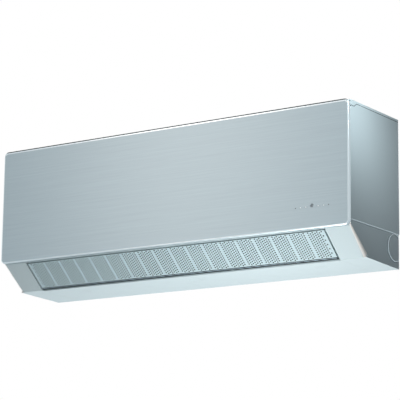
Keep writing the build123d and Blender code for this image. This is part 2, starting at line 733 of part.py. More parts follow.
def lid():
    seam_y0 = LID_STEP_Y + 8
    lip_z = TOP_Z - LID_LIP
    outline = [
        (CASE_FRONT_Y, TOP_Z),
        (0, TOP_Z),
        (0, lip_z),
        (seam_y0, lip_z),
        (seam_y0 - 4.5, lip_z - 1.6),
        (LID_STEP_Y, TOP_Z - LID_FRONT_H),
        (CASE_FRONT_Y, TOP_Z - LID_FRONT_H),
    ]
    cover = prism(outline, -SIDE_X, SIDE_X)
    bed_z = TOP_Z - LID_FRONT_H
    bed_half = FILTER_GAP / 2 + FILTER_W + 6
    cover += block(-bed_half, bed_half, CASE_FRONT_Y, FILTER_BACK_Y + 6, bed_z, TOP_Z - 1)
    hollow = [
        (CASE_FRONT_Y + WALL, TOP_Z - WALL),
        (LID_STEP_Y - 1, TOP_Z - WALL),
        (LID_STEP_Y - 1, bed_z - 1),
        (CASE_FRONT_Y + WALL, bed_z - 1),
    ]
    for side in (-1, 1):
        x0, x1 = sorted((side * (bed_half + 4), side * (SIDE_X - WALL)))
        cover -= prism(hollow, x0, x1)
        near = side * (FILTER_GAP / 2 - SEAM)
        far = side * (FILTER_GAP / 2 + FILTER_W + SEAM)
        x0, x1 = sorted((near, far))
        recess_z = TOP_Z - LID_RECESS
        cover -= block(x0, x1, FILTER_FRONT_Y - SEAM, FILTER_BACK_Y + SEAM, recess_z, TOP_Z + 1)
        leg_back = FILTER_FRONT_Y + FILTER_T + SEAM
        cover -= block(x0, x1, FILTER_FRONT_Y - SEAM, leg_back, bed_z - 1, TOP_Z + 1)
        slot_y0, slot_y1 = leg_back + 4, FILTER_BACK_Y - 4
        pitch = (FILTER_W - 10) / INTAKE_SLOTS
        for i in range(INTAKE_SLOTS):
            x = x0 + SEAM + 5 + pitch * (i + 0.5)
            reach = pitch / 2 - 2
            cover -= block(x - reach, x + reach, slot_y0, slot_y1, bed_z - 1, TOP_Z + 1)
    return cover


# Front panel: folded aluminium skin, plastic frame with hinge pins, and indicator lenses
def panel_outline(inset=0.0, radius=PANEL_CORNER_R):
    width = UNIT_W - 2 * inset
    height = PANEL_H - 2 * inset
    return RectangleRounded(width, height, radius)


def panel_plane(y):
    return Plane(origin=(0, y, (TOP_Z + PANEL_BOTTOM_Z) / 2), x_dir=(1, 0, 0), z_dir=(0, -1, 0))


def panel_slab(back_y, front_y, inset, radius):
    return extrude(panel_plane(back_y) * panel_outline(inset, radius), back_y - front_y)


def light_place(offset):
    return LIGHT_X + offset, PANEL_BOTTOM_Z + LIGHT_Z


def front_panel():
    skin = panel_slab(PANEL_BACK_Y, FRONT_Y, 0.0, PANEL_CORNER_R)
    skin = fillet(skin.faces().sort_by(Axis.Y)[0].edges(), PANEL_EDGE_R)
    skin -= panel_slab(PANEL_BACK_Y + 1, FRONT_Y + SKIN_T, SKIN_T, PANEL_CORNER_R - SKIN_T)
    for offset in LIGHT_OFFSETS:
        x, z = light_place(offset)
        skin -= rod((x, FRONT_Y - 1, z), (0, 1, 0), LIGHT_R + 0.05, 4)
    ring_z = PANEL_BOTTOM_Z + LIGHT_Z + LIGHT_RING_RISE
    skin -= rod((LIGHT_X, FRONT_Y - 1, ring_z), (0, 1, 0), RING_R + 0.05, 4)
    return skin


def panel_frame():
    front = FRAME_FRONT_Y
    back = front + FRAME_T
    inset = SKIN_T + SKIN_GAP
    radius = PANEL_CORNER_R - inset
    slab = panel_slab(back, front, inset, radius)
    slab = chamfer(slab.faces().sort_by(Axis.Y)[0].edges(), PANEL_EDGE_R - SKIN_T)
    slab -= panel_slab(back + 1, FRAME_POCKET_Y, inset + FRAME_RIM, 6.0)
    half_rib = FRAME_RIB_T / 2
    outer_rib = LIGHT_X - FRAME_RIB_INSET
    for x in (-outer_rib, -outer_rib / 2, 0.0, outer_rib / 2, outer_rib):
        slab += block(x - half_rib, x + half_rib, front + 1, back, PANEL_BOTTOM_Z + 10, TOP_Z - 10)
    for rise in FRAME_RIB_RISES:
        z = PANEL_BOTTOM_Z + rise
        slab += block(-HALF_W + 10, HALF_W - 10, front + 1, back, z - half_rib, z + half_rib)
    pad_top = TOP_Z - inset - 1
    for side in (-1, 1):
        x = side * HINGE_X
        half = HINGE_POCKET_W / 2
        pad_bottom = pad_top - HINGE_POCKET_H - 6
        slab += block(x - half - 7, x + half + 7, front + 1, back, pad_bottom, pad_top)
        slab -= block(x - half, x + half, front - 1, back + 1, TOP_Z - HINGE_POCKET_H, TOP_Z)
        slab += rod_x(HINGE_Y, HINGE_Z, HINGE_PIN_R, x - half - 2, x + half + 2)
    for offset in LIGHT_OFFSETS:
        x, z = light_place(offset)
        slab -= rod((x, front - 1, z), (0, 1, 0), LIGHT_R + 0.05, 10)
    ring_z = PANEL_BOTTOM_Z + LIGHT_Z + LIGHT_RING_RISE
    slab -= rod((LIGHT_X, front - 1, ring_z), (0, 1, 0), RING_R + 0.05, 10)
    return slab


def indicator_lenses():
    """Light pipes from the panel's face to its display board."""
    back = FRAME_POCKET_Y
    lenses = []
    for offset in LIGHT_OFFSETS:
        x, z = light_place(offset)
        lenses.append(rod((x, FRONT_Y + 0.1, z), (0, 1, 0), LIGHT_R, back - FRONT_Y - 0.1))
    ring_z = PANEL_BOTTOM_Z + LIGHT_Z + LIGHT_RING_RISE
    ring = rod((LIGHT_X, FRONT_Y + 0.1, ring_z), (0, 1, 0), RING_R, back - FRONT_Y - 0.1)
    groove = rod((LIGHT_X, FRONT_Y, ring_z), (0, 1, 0), RING_R - RING_W, 0.5)
    lenses.append(ring - groove)
    return Compound(children=lenses)


def display_board():
    front = FRAME_POCKET_Y + 0.1
    z = PANEL_BOTTOM_Z + LIGHT_Z
    return block(LIGHT_X - 44, LIGHT_X + 44, front, front + BOARD_T, z - 9, z + 12)


# Front grille: the open frame behind the panel that carries its hinge and guides the filters
def front_grille():
    half = SIDE_X - WALL - SEAT
    front, back = CASE_FRONT_Y, CASE_FRONT_Y + GRILLE_T
    top = TOP_Z - LID_FRONT_H - SEAT
    bottom = PANEL_BOTTOM_Z + FLANGE_H + SEAT
    frame = block(-half, half, front, back, bottom, top)
    for side in (-1, 1):
        x0, x1 = sorted((side * 6.0, side * (FILTER_GAP / 2 + FILTER_W - 4)))
        window = block(x0, x1, front - 1, back + 1, bottom + 24, top - 8)
        frame -= window
        pitch = abs(x1 - x0) / 6
        for i in range(1, 6):
            bar_x = x0 + pitch * i
            frame += block(bar_x - 1.5, bar_x + 1.5, front, back, bottom + 20, top - 4)
        for z in (bottom + 66, bottom + 110, bottom + 154):
            frame += block(x0 - 1, x1 + 1, front, back, z - 1.5, z + 1.5)
        ear = [
            (HINGE_Y - HINGE_EAR_R, HINGE_Z),
            (HINGE_Y - HINGE_EAR_R, HINGE_Z - 14),
            (front + 1, HINGE_Z - 14),
            (front + 1, HINGE_Z - 9),
            (HINGE_Y + HINGE_EAR_R, HINGE_Z - 8),
            (HINGE_Y + HINGE_EAR_R, HINGE_Z),
        ]
        ear_x = side * HINGE_X
        frame += prism(ear, ear_x - HINGE_EAR_W / 2, ear_x + HINGE_EAR_W / 2)
        half_ear = HINGE_EAR_W / 2
        frame += rod_x(HINGE_Y, HINGE_Z, HINGE_EAR_R, ear_x - half_ear, ear_x + half_ear)
        bore_r = HINGE_PIN_R + PIN_GAP
        frame -= rod_x(HINGE_Y, HINGE_Z, bore_r, ear_x - HINGE_EAR_W, ear_x + HINGE_EAR_W)
    frame -= rod((BUTTON_X, front - 1, BUTTON_Z), (0, 1, 0), BUTTON_R + PIN_GAP, 6)
    return frame


def test_button():
    front = CASE_FRONT_Y
    cap_l = BUTTON_STAND + GRILLE_T + 1.0
    cap = rod((BUTTON_X, front - BUTTON_STAND, BUTTON_Z), (0, 1, 0), BUTTON_R, cap_l)
    flange_y = front + GRILLE_T + SEAT
    cap += rod((BUTTON_X, flange_y, BUTTON_Z), (0, 1, 0), BUTTON_R + BUTTON_FLANGE, 1.0)
    return cap


# Air filter: an L-shaped frame, its bed on the lid and its leg in front of the evaporator
def air_filter(side):
    x0, x1 = sorted((side * FILTER_GAP / 2, side * (FILTER_GAP / 2 + FILTER_W)))
    bed_z = TOP_Z - LID_RECESS + SEAT
    leg_y = FILTER_FRONT_Y
    outline = [
        (leg_y, FILTER_BOTTOM_Z),
        (leg_y, bed_z + FILTER_T),
        (FILTER_BACK_Y, bed_z + FILTER_T),
        (FILTER_BACK_Y, bed_z),
        (leg_y + FILTER_T, bed_z),
        (leg_y + FILTER_T, FILTER_BOTTOM_Z),
    ]
    frame = prism(outline, x0, x1)
    pitch = (FILTER_W - 2 * FILTER_BORDER + FILTER_RIB) / FILTER_PARTS
    spare = FILTER_T - FILTER_SHEET_T
    cross_z = TOP_Z - FILTER_CROSS_DROP
    cross_y = FRONT_Y + FILTER_CROSS_SETBACK
    heights = (
        (FILTER_BOTTOM_Z + FILTER_BORDER, cross_z),
        (cross_z + FILTER_RIB, bed_z - FILTER_BORDER),
    )
    depths = (
        (leg_y + FILTER_BORDER, cross_y),
        (cross_y + FILTER_RIB, FILTER_BACK_Y - FILTER_BORDER),
    )
    for i in range(FILTER_PARTS):
        a = x0 + FILTER_BORDER + pitch * i
        b = a + pitch - FILTER_RIB
        for low, high in heights:
            frame -= block(a, b, leg_y - 1, leg_y + spare, low, high)
        for near, far in depths:
            frame -= block(a, b, near, far, bed_z + FILTER_SHEET_T, bed_z + FILTER_T + 1)
    grip_x = (x0 + x1) / 2
    grip_y = leg_y + FILTER_BORDER
    frame += block(grip_x - 22, grip_x + 22, grip_y - FILTER_RIB, grip_y, bed_z + 1, TOP_Z - 1)
    return frame


# Evaporator: three finned slabs with end plates and hairpin bends
def slab_frame(ends):
    (y0, z0), (y1, z1) = ends
    length = hypot(y1 - y0, z1 - z0)
    return (y0, z0), ((y1 - y0) / length, (z1 - z0) / length), length


def slab_point(ends, along, across):
    """(y, z) at a distance along a slab's middle line, and across it."""
    (y0, z0), (dy, dz), _ = slab_frame(ends)
    return y0 + dy * along - dz * across, z0 + dz * along + dy * across


def coil_slab(ends, x0, x1, spare=0.0):
    _, _, length = slab_frame(ends)
    half = COIL_T / 2 + spare
    corners = [(0, -half), (length, -half), (length, half), (0, half)]
    return prism([slab_point(ends, *c) for c in corners], x0, x1)


def evaporator(ends, face_side):
    body = coil_slab(ends, -COIL_HALF_L, COIL_HALF_L)
    _, _, length = slab_frame(ends)
    pitch = 2 * COIL_HALF_L / FIN_GROOVES
    top = face_side * COIL_T / 2
    low, high = sorted((top - face_side * FIN_GROOVE_D, top + face_side))
    corners = [(-1, low), (length + 1, low), (length + 1, high), (-1, high)]
    groove = prism([slab_point(ends, *c) for c in corners], 0, FIN_GROOVE_W)
    grooves = [Pos(-COIL_HALF_L + pitch * (i + 0.5), 0, 0) * groove for i in range(FIN_GROOVES)]
    return body.cut(*grooves)


def front_lug(side):
    """A tab behind the front slab, bent outward to the end wall's inner face."""
    bend_y = PAN_BACK_Y + LUG_BEND
    z0 = END_WALL_TOP_Z - LUG_DROP
    x0, x1 = sorted((side * COIL_HALF_L, side * (COIL_HALF_L + COIL_PLATE_T)))
    tab = block(x0, x1, COIL_FRONT_Y + COIL_T / 2 - 1, bend_y, z0, z0 + LUG_W)
    x0, x1 = sorted((side * COIL_HALF_L, side * (DUCT_HALF_W - SEAT)))
    return tab + block(x0, x1, bend_y - COIL_PLATE_T, bend_y, z0, z0 + LUG_W)


def rear_foot(side):
    """A tab under the rear slab, bent outward over the end wall's top."""
    y0 = COIL_REAR_Y - FOOT_FRONT
    z0 = END_WALL_TOP_Z + SEAT
    x0, x1 = sorted((side * COIL_HALF_L, side * (COIL_HALF_L + COIL_PLATE_T)))
    tab = block(x0, x1, y0, y0 + FOOT_W, z0, z0 + FOOT_H)
    x0, x1 = sorted((side * COIL_HALF_L, side * (DUCT_HALF_W + END_WALL_T)))
    return tab + block(x0, x1, y0, y0 + FOOT_W, z0, z0 + COIL_PLATE_T)


def end_plates():
    plates = []
    for side in (-1, 1):
        x0, _ = sorted((side * COIL_HALF_L, side * (COIL_HALF_L + COIL_PLATE_T)))
        front, upper, rear = (
            coil_slab(ends, x0, x0 + COIL_PLATE_T, 0.8) for ends in (COIL_FRONT, COIL_UPPER, COIL_REAR)
        )
        plates += [front + front_lug(side), upper, rear + rear_foot(side)]
    return Compound(children=plates)


def hairpin(ends, along, across, x, side):
    """Half a ring that joins two neighbouring tubes of one row."""
    _, direction, _ = slab_frame(ends)
    middle = slab_point(ends, along + COIL_ROW, across)
    plane = Plane(origin=(x, *middle), x_dir=(0, *direction), z_dir=(0, -direction[1], direction[0]))
    turn = 1.0 if plane.y_dir.X * side > 0 else -1.0
    path = plane * ThreePointArc((-COIL_ROW, 0), (0, turn * COIL_ROW), (COIL_ROW, 0))
    start = slab_point(ends, along, across)
    section = Plane(origin=(x, *start), z_dir=(side, 0, 0)) * Circle(COIL_TUBE_R)
    return sweep(section, path=path)


def return_bends():
    bends = []
    for ends in (COIL_FRONT, COIL_UPPER, COIL_REAR):
        _, _, length = slab_frame(ends)
        for side in (-1, 1):
            x = side * (COIL_HALF_L + COIL_PLATE_T)
            right = (54.0,) if ends is COIL_REAR else (33.0,)
            starts = (12.0, 54.0) if side < 0 else right
            for along in starts:
                if along + 2 * COIL_ROW + COIL_TUBE_R < length:
                    bends.append(hairpin(ends, along, 0.0, x, side))
    return Compound(children=bends)


# Pipes: from the rear slab, down behind the fan motor and along the pipe channel
def pipe(points, radius, bends):
    path = FilletPolyline(*points, radius=bends)
    start = Vector(*points[0])
    section = Plane(origin=start, z_dir=Vector(*points[1]) - start) * Circle(radius)
    return sweep(section, path=path)


def pipe_route(along, far_x, low_z, end_x):
    """Out of the rear slab, down the bay and back along the channel to its union."""
    y, z = slab_point(COIL_REAR, along, 0.0)
    return [
        (COIL_HALF_L + COIL_PLATE_T, y, z), (far_x, y, z), (far_x, PIPE_Y, z - PIPE_SLOPE_H),
        (far_x, PIPE_Y, low_z), (end_x + HEX_L, PIPE_Y, low_z),
    ]


def gas_pipe():
    return pipe(pipe_route(GAS_START, GAS_X, GAS_Z, GAS_END_X), GAS_R, PIPE_BEND_R)


def liquid_pipe():
    route = pipe_route(LIQUID_START, LIQUID_X, LIQUID_Z, LIQUID_END_X)
    return pipe(route, LIQUID_R, PIPE_BEND_R - 4)


def union(x, z, hexagon, thread_r, bore_r):
    outline = RegularPolygon(hexagon / 2, 6, major_radius=False)
    nut = extrude(Plane(origin=(x, PIPE_Y, z), z_dir=(1, 0, 0)) * outline, HEX_L)
    body = nut + rod_x(PIPE_Y, z, thread_r, x - THREAD_L, x + 1)
    return body - rod_x(PIPE_Y, z, bore_r, x - THREAD_L - 1, x + HEX_L + 1)


def flare_unions():
    gas = union(GAS_END_X, GAS_Z, GAS_HEX, GAS_THREAD_R, GAS_R - 0.8)
    liquid = union(LIQUID_END_X, LIQUID_Z, LIQUID_HEX, LIQUID_THREAD_R, LIQUID_R - 0.7)
    return Compound(children=[gas, liquid])


def pipe_clamp():
    x0, x1 = CLAMP_X, CLAMP_X + CLAMP_L
    bottom, top = GAS_Z - GAS_R - CLAMP_WALL, LIQUID_Z + LIQUID_R + CLAMP_WALL
    saddle = block(x0, x1, CHANNEL_Y + WALL, PIPE_Y + GAS_R + CLAMP_WALL, bottom, top)
    saddle -= rod_x(PIPE_Y, GAS_Z, GAS_R + 0.1, x0 - 1, x1 + 1)
    saddle -= rod_x(PIPE_Y, LIQUID_Z, LIQUID_R + 0.1, x0 - 1, x1 + 1)
    return saddle


# Drain pan with the tongue that runs close in front of the fan, down to the outlet's upper lip
def drain_pan():
    half = DUCT_HALF_W - SEAT
    lip = chin(OUTLET_LIP + 0.5, CHIN_WALL + SEAT)
    tongue_y = PAN_BACK_Y
    section = [
        (PAN_FRONT_Y, PAN_RIM_Z),
        (PAN_FRONT_Y, lip[1] + 12),
        (lip[0] - 0.6, lip[1]),
        (lip[0] + 3.0, lip[1] - 1.0),
        (tongue_y + 1.5, TONGUE_TOP_Z - 8),
        (tongue_y + 1.5, TONGUE_TOP_Z + 4),
        (tongue_y, TONGUE_TOP_Z + 6),
        (tongue_y - PAN_T, TONGUE_TOP_Z + 6),
        (tongue_y - PAN_T, PAN_FLOOR_Z + 3),
        (tongue_y - PAN_T - 3, PAN_FLOOR_Z),
        (PAN_FRONT_Y + PAN_T + 3, PAN_FLOOR_Z),
        (PAN_FRONT_Y + PAN_T, PAN_FLOOR_Z + 3),
        (PAN_FRONT_Y + PAN_T, PAN_RIM_Z),
    ]
    pan = prism(section, -half, half)
    for side in (-1, 1):
        x0, x1 = sorted((side * half, side * (half - PAN_T)))
        end = [
            (PAN_FRONT_Y, PAN_RIM_Z), (tongue_y, PAN_RIM_Z), (tongue_y, PAN_FLOOR_Z - 4),
            (PAN_FRONT_Y, PAN_FLOOR_Z - 4),
        ]
        pan += prism(end, x0, x1)
        sump = side * (half - 26)
        bore = (side * (half + 1), SPIGOT_Y, SPIGOT_Z)
        pan -= rod(bore, (-side, 0, 0), SPIGOT_BORE_R, 26)
        a, b = sorted((sump + side * 10, side * (half - PAN_T - 2)))
        pan -= block(a, b, SPIGOT_Y - 5, SPIGOT_Y + 5, SPIGOT_Z, PAN_FLOOR_Z + 1)
    return pan


def drain_spigot():
    x = DUCT_HALF_W
    body = rod_x(SPIGOT_Y, SPIGOT_Z, SPIGOT_R + 3, x, x + 3)
    body += rod_x(SPIGOT_Y, SPIGOT_Z, SPIGOT_R, x + 1, x + 3 + SPIGOT_L)
    body -= rod_x(SPIGOT_Y, SPIGOT_Z, SPIGOT_BORE_R, x - 1, x + 4 + SPIGOT_L)
    return body


def drain_plug():
    x = -DUCT_HALF_W
    plug = rod_x(SPIGOT_Y, SPIGOT_Z, SPIGOT_BORE_R - 0.1, x - 2, x + 10)
    plug += rod_x(SPIGOT_Y, SPIGOT_Z, SPIGOT_R + 1, x - 5, x)
    return plug


# Fan: curved blades around discs, its left shaft stub, bearing, motor shaft, motor and strap
def blade_outline():
    """One curved blade across the fan's rim, leaning forward from root to tip."""
    root_r, tip_r = FAN_R - FAN_BLADE_DEPTH, FAN_R
    lean = radians(9.0)

    def at(radius, angle):
        return radius * cos(angle), radius * sin(angle)

    bow = 2.2 / FAN_R
    mid_r = (root_r + tip_r) / 2
    half = FAN_BLADE_T / 2
    outer = ThreePointArc(
        at(root_r, half / root_r), at(mid_r, lean / 2 + bow + half / mid_r), at(tip_r, lean + half / tip_r)
    )
    inner = ThreePointArc(
        at(tip_r, lean - half / tip_r), at(mid_r, lean / 2 + bow - half / mid_r), at(root_r, -half / root_r)
    )
    tip = Line(outer @ 1, inner @ 0)
    root = Line(inner @ 1, outer @ 0)
    return make_face([outer, tip, inner, root])


def fan_rotor():
    base = Plane(origin=(-FAN_HALF_L, FAN_Y, FAN_Z), x_dir=(0, 1, 0), z_dir=(1, 0, 0))
    blade = extrude(base * blade_outline(), 2 * FAN_HALF_L)
    axis = Axis((0, FAN_Y, FAN_Z), (1, 0, 0))
    blades = [blade.rotate(axis, 360 / FAN_BLADES * i) for i in range(FAN_BLADES)]
    disc_r = FAN_R - FAN_BLADE_DEPTH + 0.9
    pitch = (2 * FAN_HALF_L - FAN_DISC_T) / FAN_SECTIONS
    discs = []
    for i in range(FAN_SECTIONS + 1):
        x = -FAN_HALF_L + pitch * i
        disc = rod_x(FAN_Y, FAN_Z, disc_r, x, x + FAN_DISC_T)
        if 0 < i < FAN_SECTIONS:
            disc -= rod_x(FAN_Y, FAN_Z, disc_r - 9, x - 1, x + FAN_DISC_T + 1)
        discs.append(disc)
    return discs[0].fuse(*discs[1:], *blades)


def fan_stub():
    stub = rod_x(FAN_Y, FAN_Z, SHAFT_R, -FAN_HALF_L - SHAFT_L, -FAN_HALF_L)
    stub += rod_x(FAN_Y, FAN_Z, SHAFT_R + 3.5, -FAN_HALF_L - 3, -FAN_HALF_L)
    return stub


def motor_shaft():
    shaft = rod_x(FAN_Y, FAN_Z, SHAFT_R, FAN_HALF_L, FAN_HALF_L + MOTOR_SHAFT_L)
    shaft += rod_x(FAN_Y, FAN_Z, SHAFT_R + 3.5, FAN_HALF_L, FAN_HALF_L + 4)
    return shaft


def bearing():
    x1 = -DUCT_HALF_W - END_WALL_T - SEAT - 1.0
    body = rod_x(FAN_Y, FAN_Z, BEARING_R, x1 - BEARING_L, x1)
    body -= rod_x(FAN_Y, FAN_Z, SHAFT_R + PIN_GAP, x1 - BEARING_L - 1, x1 + 1)
    return body


def bearing_holder():
    x1 = -DUCT_HALF_W - END_WALL_T
    plate = rod_x(FAN_Y, FAN_Z, BEARING_R + 10, x1 - 2.2, x1)
    cup = rod_x(FAN_Y, FAN_Z, BEARING_R + 3, x1 - BEARING_L - 4, x1 - 1)
    holder = plate + cup
    holder -= rod_x(FAN_Y, FAN_Z, BEARING_R + 0.1, x1 - BEARING_L - 1.6, x1 + 1)
    holder -= rod_x(FAN_Y, FAN_Z, SHAFT_R + 1.5, x1 - BEARING_L - 5, x1 + 1)
    for angle in (60, 180, 300):
        y = FAN_Y + (BEARING_R + 6.5) * cos(radians(angle))
        z = FAN_Z + (BEARING_R + 6.5) * sin(radians(angle))
        holder -= rod_x(y, z, 1.6, x1 - 4, x1 + 1)
    return holder


def fan_motor():
    x0 = DUCT_HALF_W + END_WALL_T
    can = rod_x(FAN_Y, FAN_Z, MOTOR_R, x0, x0 + MOTOR_L)
    can = fillet(can.edges().filter_by(GeomType.CIRCLE), 3.0)
    can += rod_x(FAN_Y, FAN_Z, MOTOR_R + 1.2, x0 + MOTOR_L / 2 - 1, x0 + MOTOR_L / 2 + 1)
    can -= rod_x(FAN_Y, FAN_Z, SHAFT_R + PIN_GAP, x0 - 1, x0 + MOTOR_SHAFT_L)
    return can


def motor_strap():
    x0 = DUCT_HALF_W + END_WALL_T
    inner = MOTOR_R + 1.2 + SEAT
    a, b = x0 + 4, x0 + 4 + STRAP_W
    ring = rod_x(FAN_Y, FAN_Z, inner + STRAP_T, a, b) - rod_x(FAN_Y, FAN_Z, inner, a - 1, b + 1)
    ring -= block(a - 1, b + 1, FAN_Y - 80, FAN_Y + 80, FAN_Z - 80, FAN_Z - 12)
    for side in (-1, 1):
        y0, y1 = sorted((FAN_Y + side * inner, FAN_Y + side * (inner + STRAP_T)))
        ring += block(x0, b, y0, y1, FAN_Z - 30, FAN_Z - 11)
        y0, y1 = sorted((FAN_Y + side * inner, FAN_Y + side * (inner + 9)))
        ring += block(x0, x0 + STRAP_T, y0, y1, FAN_Z - 30, FAN_Z - 11)
    ring &= block(x0, b, SHELF_FRONT_Y - 2, CHANNEL_Y + 9.5, BOTTOM_Z, TOP_Z)
    return ring


# Outlet: flap, its stepper and bush, and the upright vanes with links and steppers
def flap():
    face = [
        chin(FLAP_START, FLAP_RECESS),
        chin(FLAP_END, FLAP_RECESS),
        chin(FLAP_END, FLAP_RECESS + FLAP_T),
        chin(FLAP_START, FLAP_RECESS + FLAP_T),
    ]
    body = prism(face, -FLAP_HALF_W, FLAP_HALF_W)
    rounded = body.edges().filter_by(lambda e: abs(e.length - FLAP_T) < 0.01)
    body = fillet(rounded, FLAP_CORNER_R)
    rib_root = FLAP_RECESS + FLAP_T - 0.5
    rib_top = FLAP_RECESS + FLAP_T + FLAP_RIB_H
    for along in FLAP_RIB_ALONG:
        past = along + FLAP_RIB_T
        rib = [chin(along, rib_root), chin(past, rib_root), chin(past, rib_top), chin(along, rib_top)]
        body += prism(rib, -FLAP_HALF_W + FLAP_RIB_END, FLAP_HALF_W - FLAP_RIB_END)
    for side in (-1, 1):
        arm = [
            chin(FLAP_PIVOT_ALONG - 20, FLAP_RECESS + 1), chin(FLAP_PIVOT_ALONG + 8, FLAP_RECESS + 1),
            chin(FLAP_PIVOT_ALONG + 3.4, FLAP_PIVOT_DEPTH + 3),
            chin(FLAP_PIVOT_ALONG - 4, FLAP_PIVOT_DEPTH + 3),
        ]
        outer = side * (FLAP_HALF_W - 2)
        x0, x1 = sorted((outer, outer - side * FLAP_ARM_T))
        body += prism(arm, x0, x1)
        x0, x1 = sorted((outer - side, outer - side + side * FLAP_PIN_L))
        body += rod_x(*FLAP_PIVOT, FLAP_PIN_R, x0, x1)
    return body


def flap_bush():
    x1 = -DUCT_HALF_W
    bush = rod_x(*FLAP_PIVOT, BUSH_R - 0.05, x1 - END_WALL_T, x1)
    bush += rod_x(*FLAP_PIVOT, BUSH_R + 1.6, x1, x1 + 1.2)
    bush -= rod_x(*FLAP_PIVOT, FLAP_PIN_R + PIN_GAP, x1 - 10, x1 + 2)
    return bush


def flap_stepper():
    x0 = DUCT_HALF_W + END_WALL_T
    y = FLAP_PIVOT[0] + CHIN_IN[0] * STEPPER_OFFSET
    z = FLAP_PIVOT[1] + CHIN_IN[1] * STEPPER_OFFSET
    body = rod_x(y, z, STEPPER_R, x0, x0 + STEPPER_L)
    body += rod_x(*FLAP_PIVOT, BUSH_R - 0.05, x0 - END_WALL_T, x0 + 1)
    body -= rod_x(*FLAP_PIVOT, FLAP_PIN_R + PIN_GAP, x0 - END_WALL_T - 1, x0 + 8)
    body += block(x0 + STEPPER_L - 3, x0 + STEPPER_L, y - 6, y + 6, z + STEPPER_R - 2, z + STEPPER_R + 5)
    return body


def vane(x):
    (foot_0, foot_1), (top_0, top_1) = VANE_FOOT_ALONG, VANE_TOP_ALONG
    edge = duct_profile([(foot_0, VANE_FOOT), (foot_1, VANE_FOOT), (top_1, VANE_H), (top_0, VANE_H)])
    body = prism(edge, x - VANE_T / 2, x + VANE_T / 2)
    upstream = body.edges().filter_by(Axis.X).sort_by(Axis.Z)
    body = fillet([upstream[-1], upstream[-2]], 3.0)
    low = LINK_H - LINK_WINDOW / 2
    end = VANE_PIVOT_ALONG - LINK_REACH + LINK_W / 2 + 3.3
    window = duct_profile([(10, low), (end, low), (end, low + LINK_WINDOW), (10, low + LINK_WINDOW)])
    body -= prism(window, x - VANE_T, x + VANE_T)
    pin_base = duct(VANE_PIVOT_ALONG, VANE_FOOT + 4)
    body += rod((x, *pin_base), (0, -UP_DIR[0], -UP_DIR[1]), VANE_PIN_R, VANE_FOOT + 4 + VANE_PIN_L)
    link_base = duct(VANE_PIVOT_ALONG - LINK_REACH, low - 2)
    body += rod((x, *link_base), (0, *UP_DIR), LINK_PIN_R, LINK_WINDOW + 4)
    return body


def duct_profile(points):
    return [duct(*p) for p in points]


def link_bar(side):
    xs = sorted(side * x for x in VANE_X)
    along = VANE_PIVOT_ALONG - LINK_REACH
    low = LINK_H - LINK_T / 2
    section = duct_profile(
        [
            (along - LINK_W / 2, low), (along + LINK_W / 2, low),
            (along + LINK_W / 2, low + LINK_T), (along - LINK_W / 2, low + LINK_T),
        ]
    )
    bar = prism(section, xs[0] - LINK_END, xs[-1] + LINK_END)
    for x in xs:
        base = duct(along, low - 2)
        bar -= rod((x, *base), (0, *UP_DIR), LINK_PIN_R + PIN_GAP, LINK_T + 4)
    return bar


def vane_stepper(side):
    x = side * VANE_X[0]
    start = duct(VANE_PIVOT_ALONG, -WALL)
    down = (0, -UP_DIR[0], -UP_DIR[1])
    body = rod((x, *start), down, STEPPER_R, STEPPER_L)
    bore = duct(VANE_PIVOT_ALONG, -WALL + 1)
    body -= rod((x, *bore), down, VANE_PIN_R + PIN_GAP, 8)
    return body


# Electrics in the right-hand bay
def control_box():
    x0, x1 = BOX_X0 + BOX_WALL, BOX_X1 - BOX_WALL
    body = block(BOX_X0, BOX_X1, BOX_Y0, BOX_Y1, BOX_Z0, BOX_TOP_Z)
    body -= block(x0, x1, BOX_Y0 - 1, BOX_Y1 - BOX_WALL, BOX_Z0 + BOX_WALL, BOX_TOP_Z - BOX_WALL)
    for z in (BOX_Z0 + 20, BOX_TOP_Z - 24):
        for y in (BOX_Y0 + 20, BOX_Y1 - 20):
            body += block(x0 - 0.5, BOX_X0 + BOARD_STAND, y, y + 6, z - 4, z + 4)
    return body


def control_box_lid():
    inset = BOX_WALL + SEAT
    plate = block(BOX_X0, BOX_X1, BOX_Y0 - 2.0, BOX_Y0, BOX_Z0, BOX_TOP_Z)
    plate += block(BOX_X0 + inset, BOX_X1 - inset, BOX_Y0 - 1, BOX_Y0 + 3, BOX_Z0 + inset, BOX_Z0 + 6)
    return plate


def control_board():
    """The board with its transformer, capacitor, two relays, connector and chip."""
    x0 = BOX_X0 + BOARD_STAND
    x1 = x0 + BOARD_T
    edge = BOX_WALL + 4
    top, front, back = BOX_TOP_Z, BOX_Y0, BOX_Y1
    board = block(x0, x1, front + 8, back - edge, BOX_Z0 + BOX_WALL + 2, top - edge)
    root = x1 - 0.1
    board += block(root, x1 + 20, back - 54, back - 26, top - 44, top - 16)
    board += rod((root, front + 36, top - 30), (1, 0, 0), 9.0, 26)
    for y in BOARD_RELAYS:
        board += block(root, x1 + 15, back - y, back - y + 14, top - 78, top - 62)
    board += block(root, x1 + 6, front + 16, front + 42, top - 64, top - 52)
    board += block(root, x1 + 3, front + 48, front + 56, top - 88, top - 50)
    return board


def terminal_block():
    z0 = BOX_Z0 + BOX_WALL
    body = block(BOX_X0 + 11, BOX_X1 - 5, BOX_Y0 + 8, BOX_Y0 + 26, z0, z0 + 18)
    for i in range(4):
        x = BOX_X0 + 15 + 6.0 * i
        body -= block(x - 2.2, x + 2.2, BOX_Y0 + 7, BOX_Y0 + 20, z0 + 5, z0 + 19)
        body += rod((x, BOX_Y0 + 14, z0 + 4.5), (0, 0, 1), 1.6, 3)
    return body


def air_sensor():
    x = COIL_HALF_L - 40
    y = COIL_FRONT_Y - COIL_T / 2
    clip_z = COIL_FRONT[0][1] + 22
    clip = block(x - 3, x + 3, y - 3, y, clip_z, clip_z + 10)
    bulb = rod((x, y - 3.2, clip_z - 10), (0, 0, 1), 2.0, 26)
    return clip + bulb


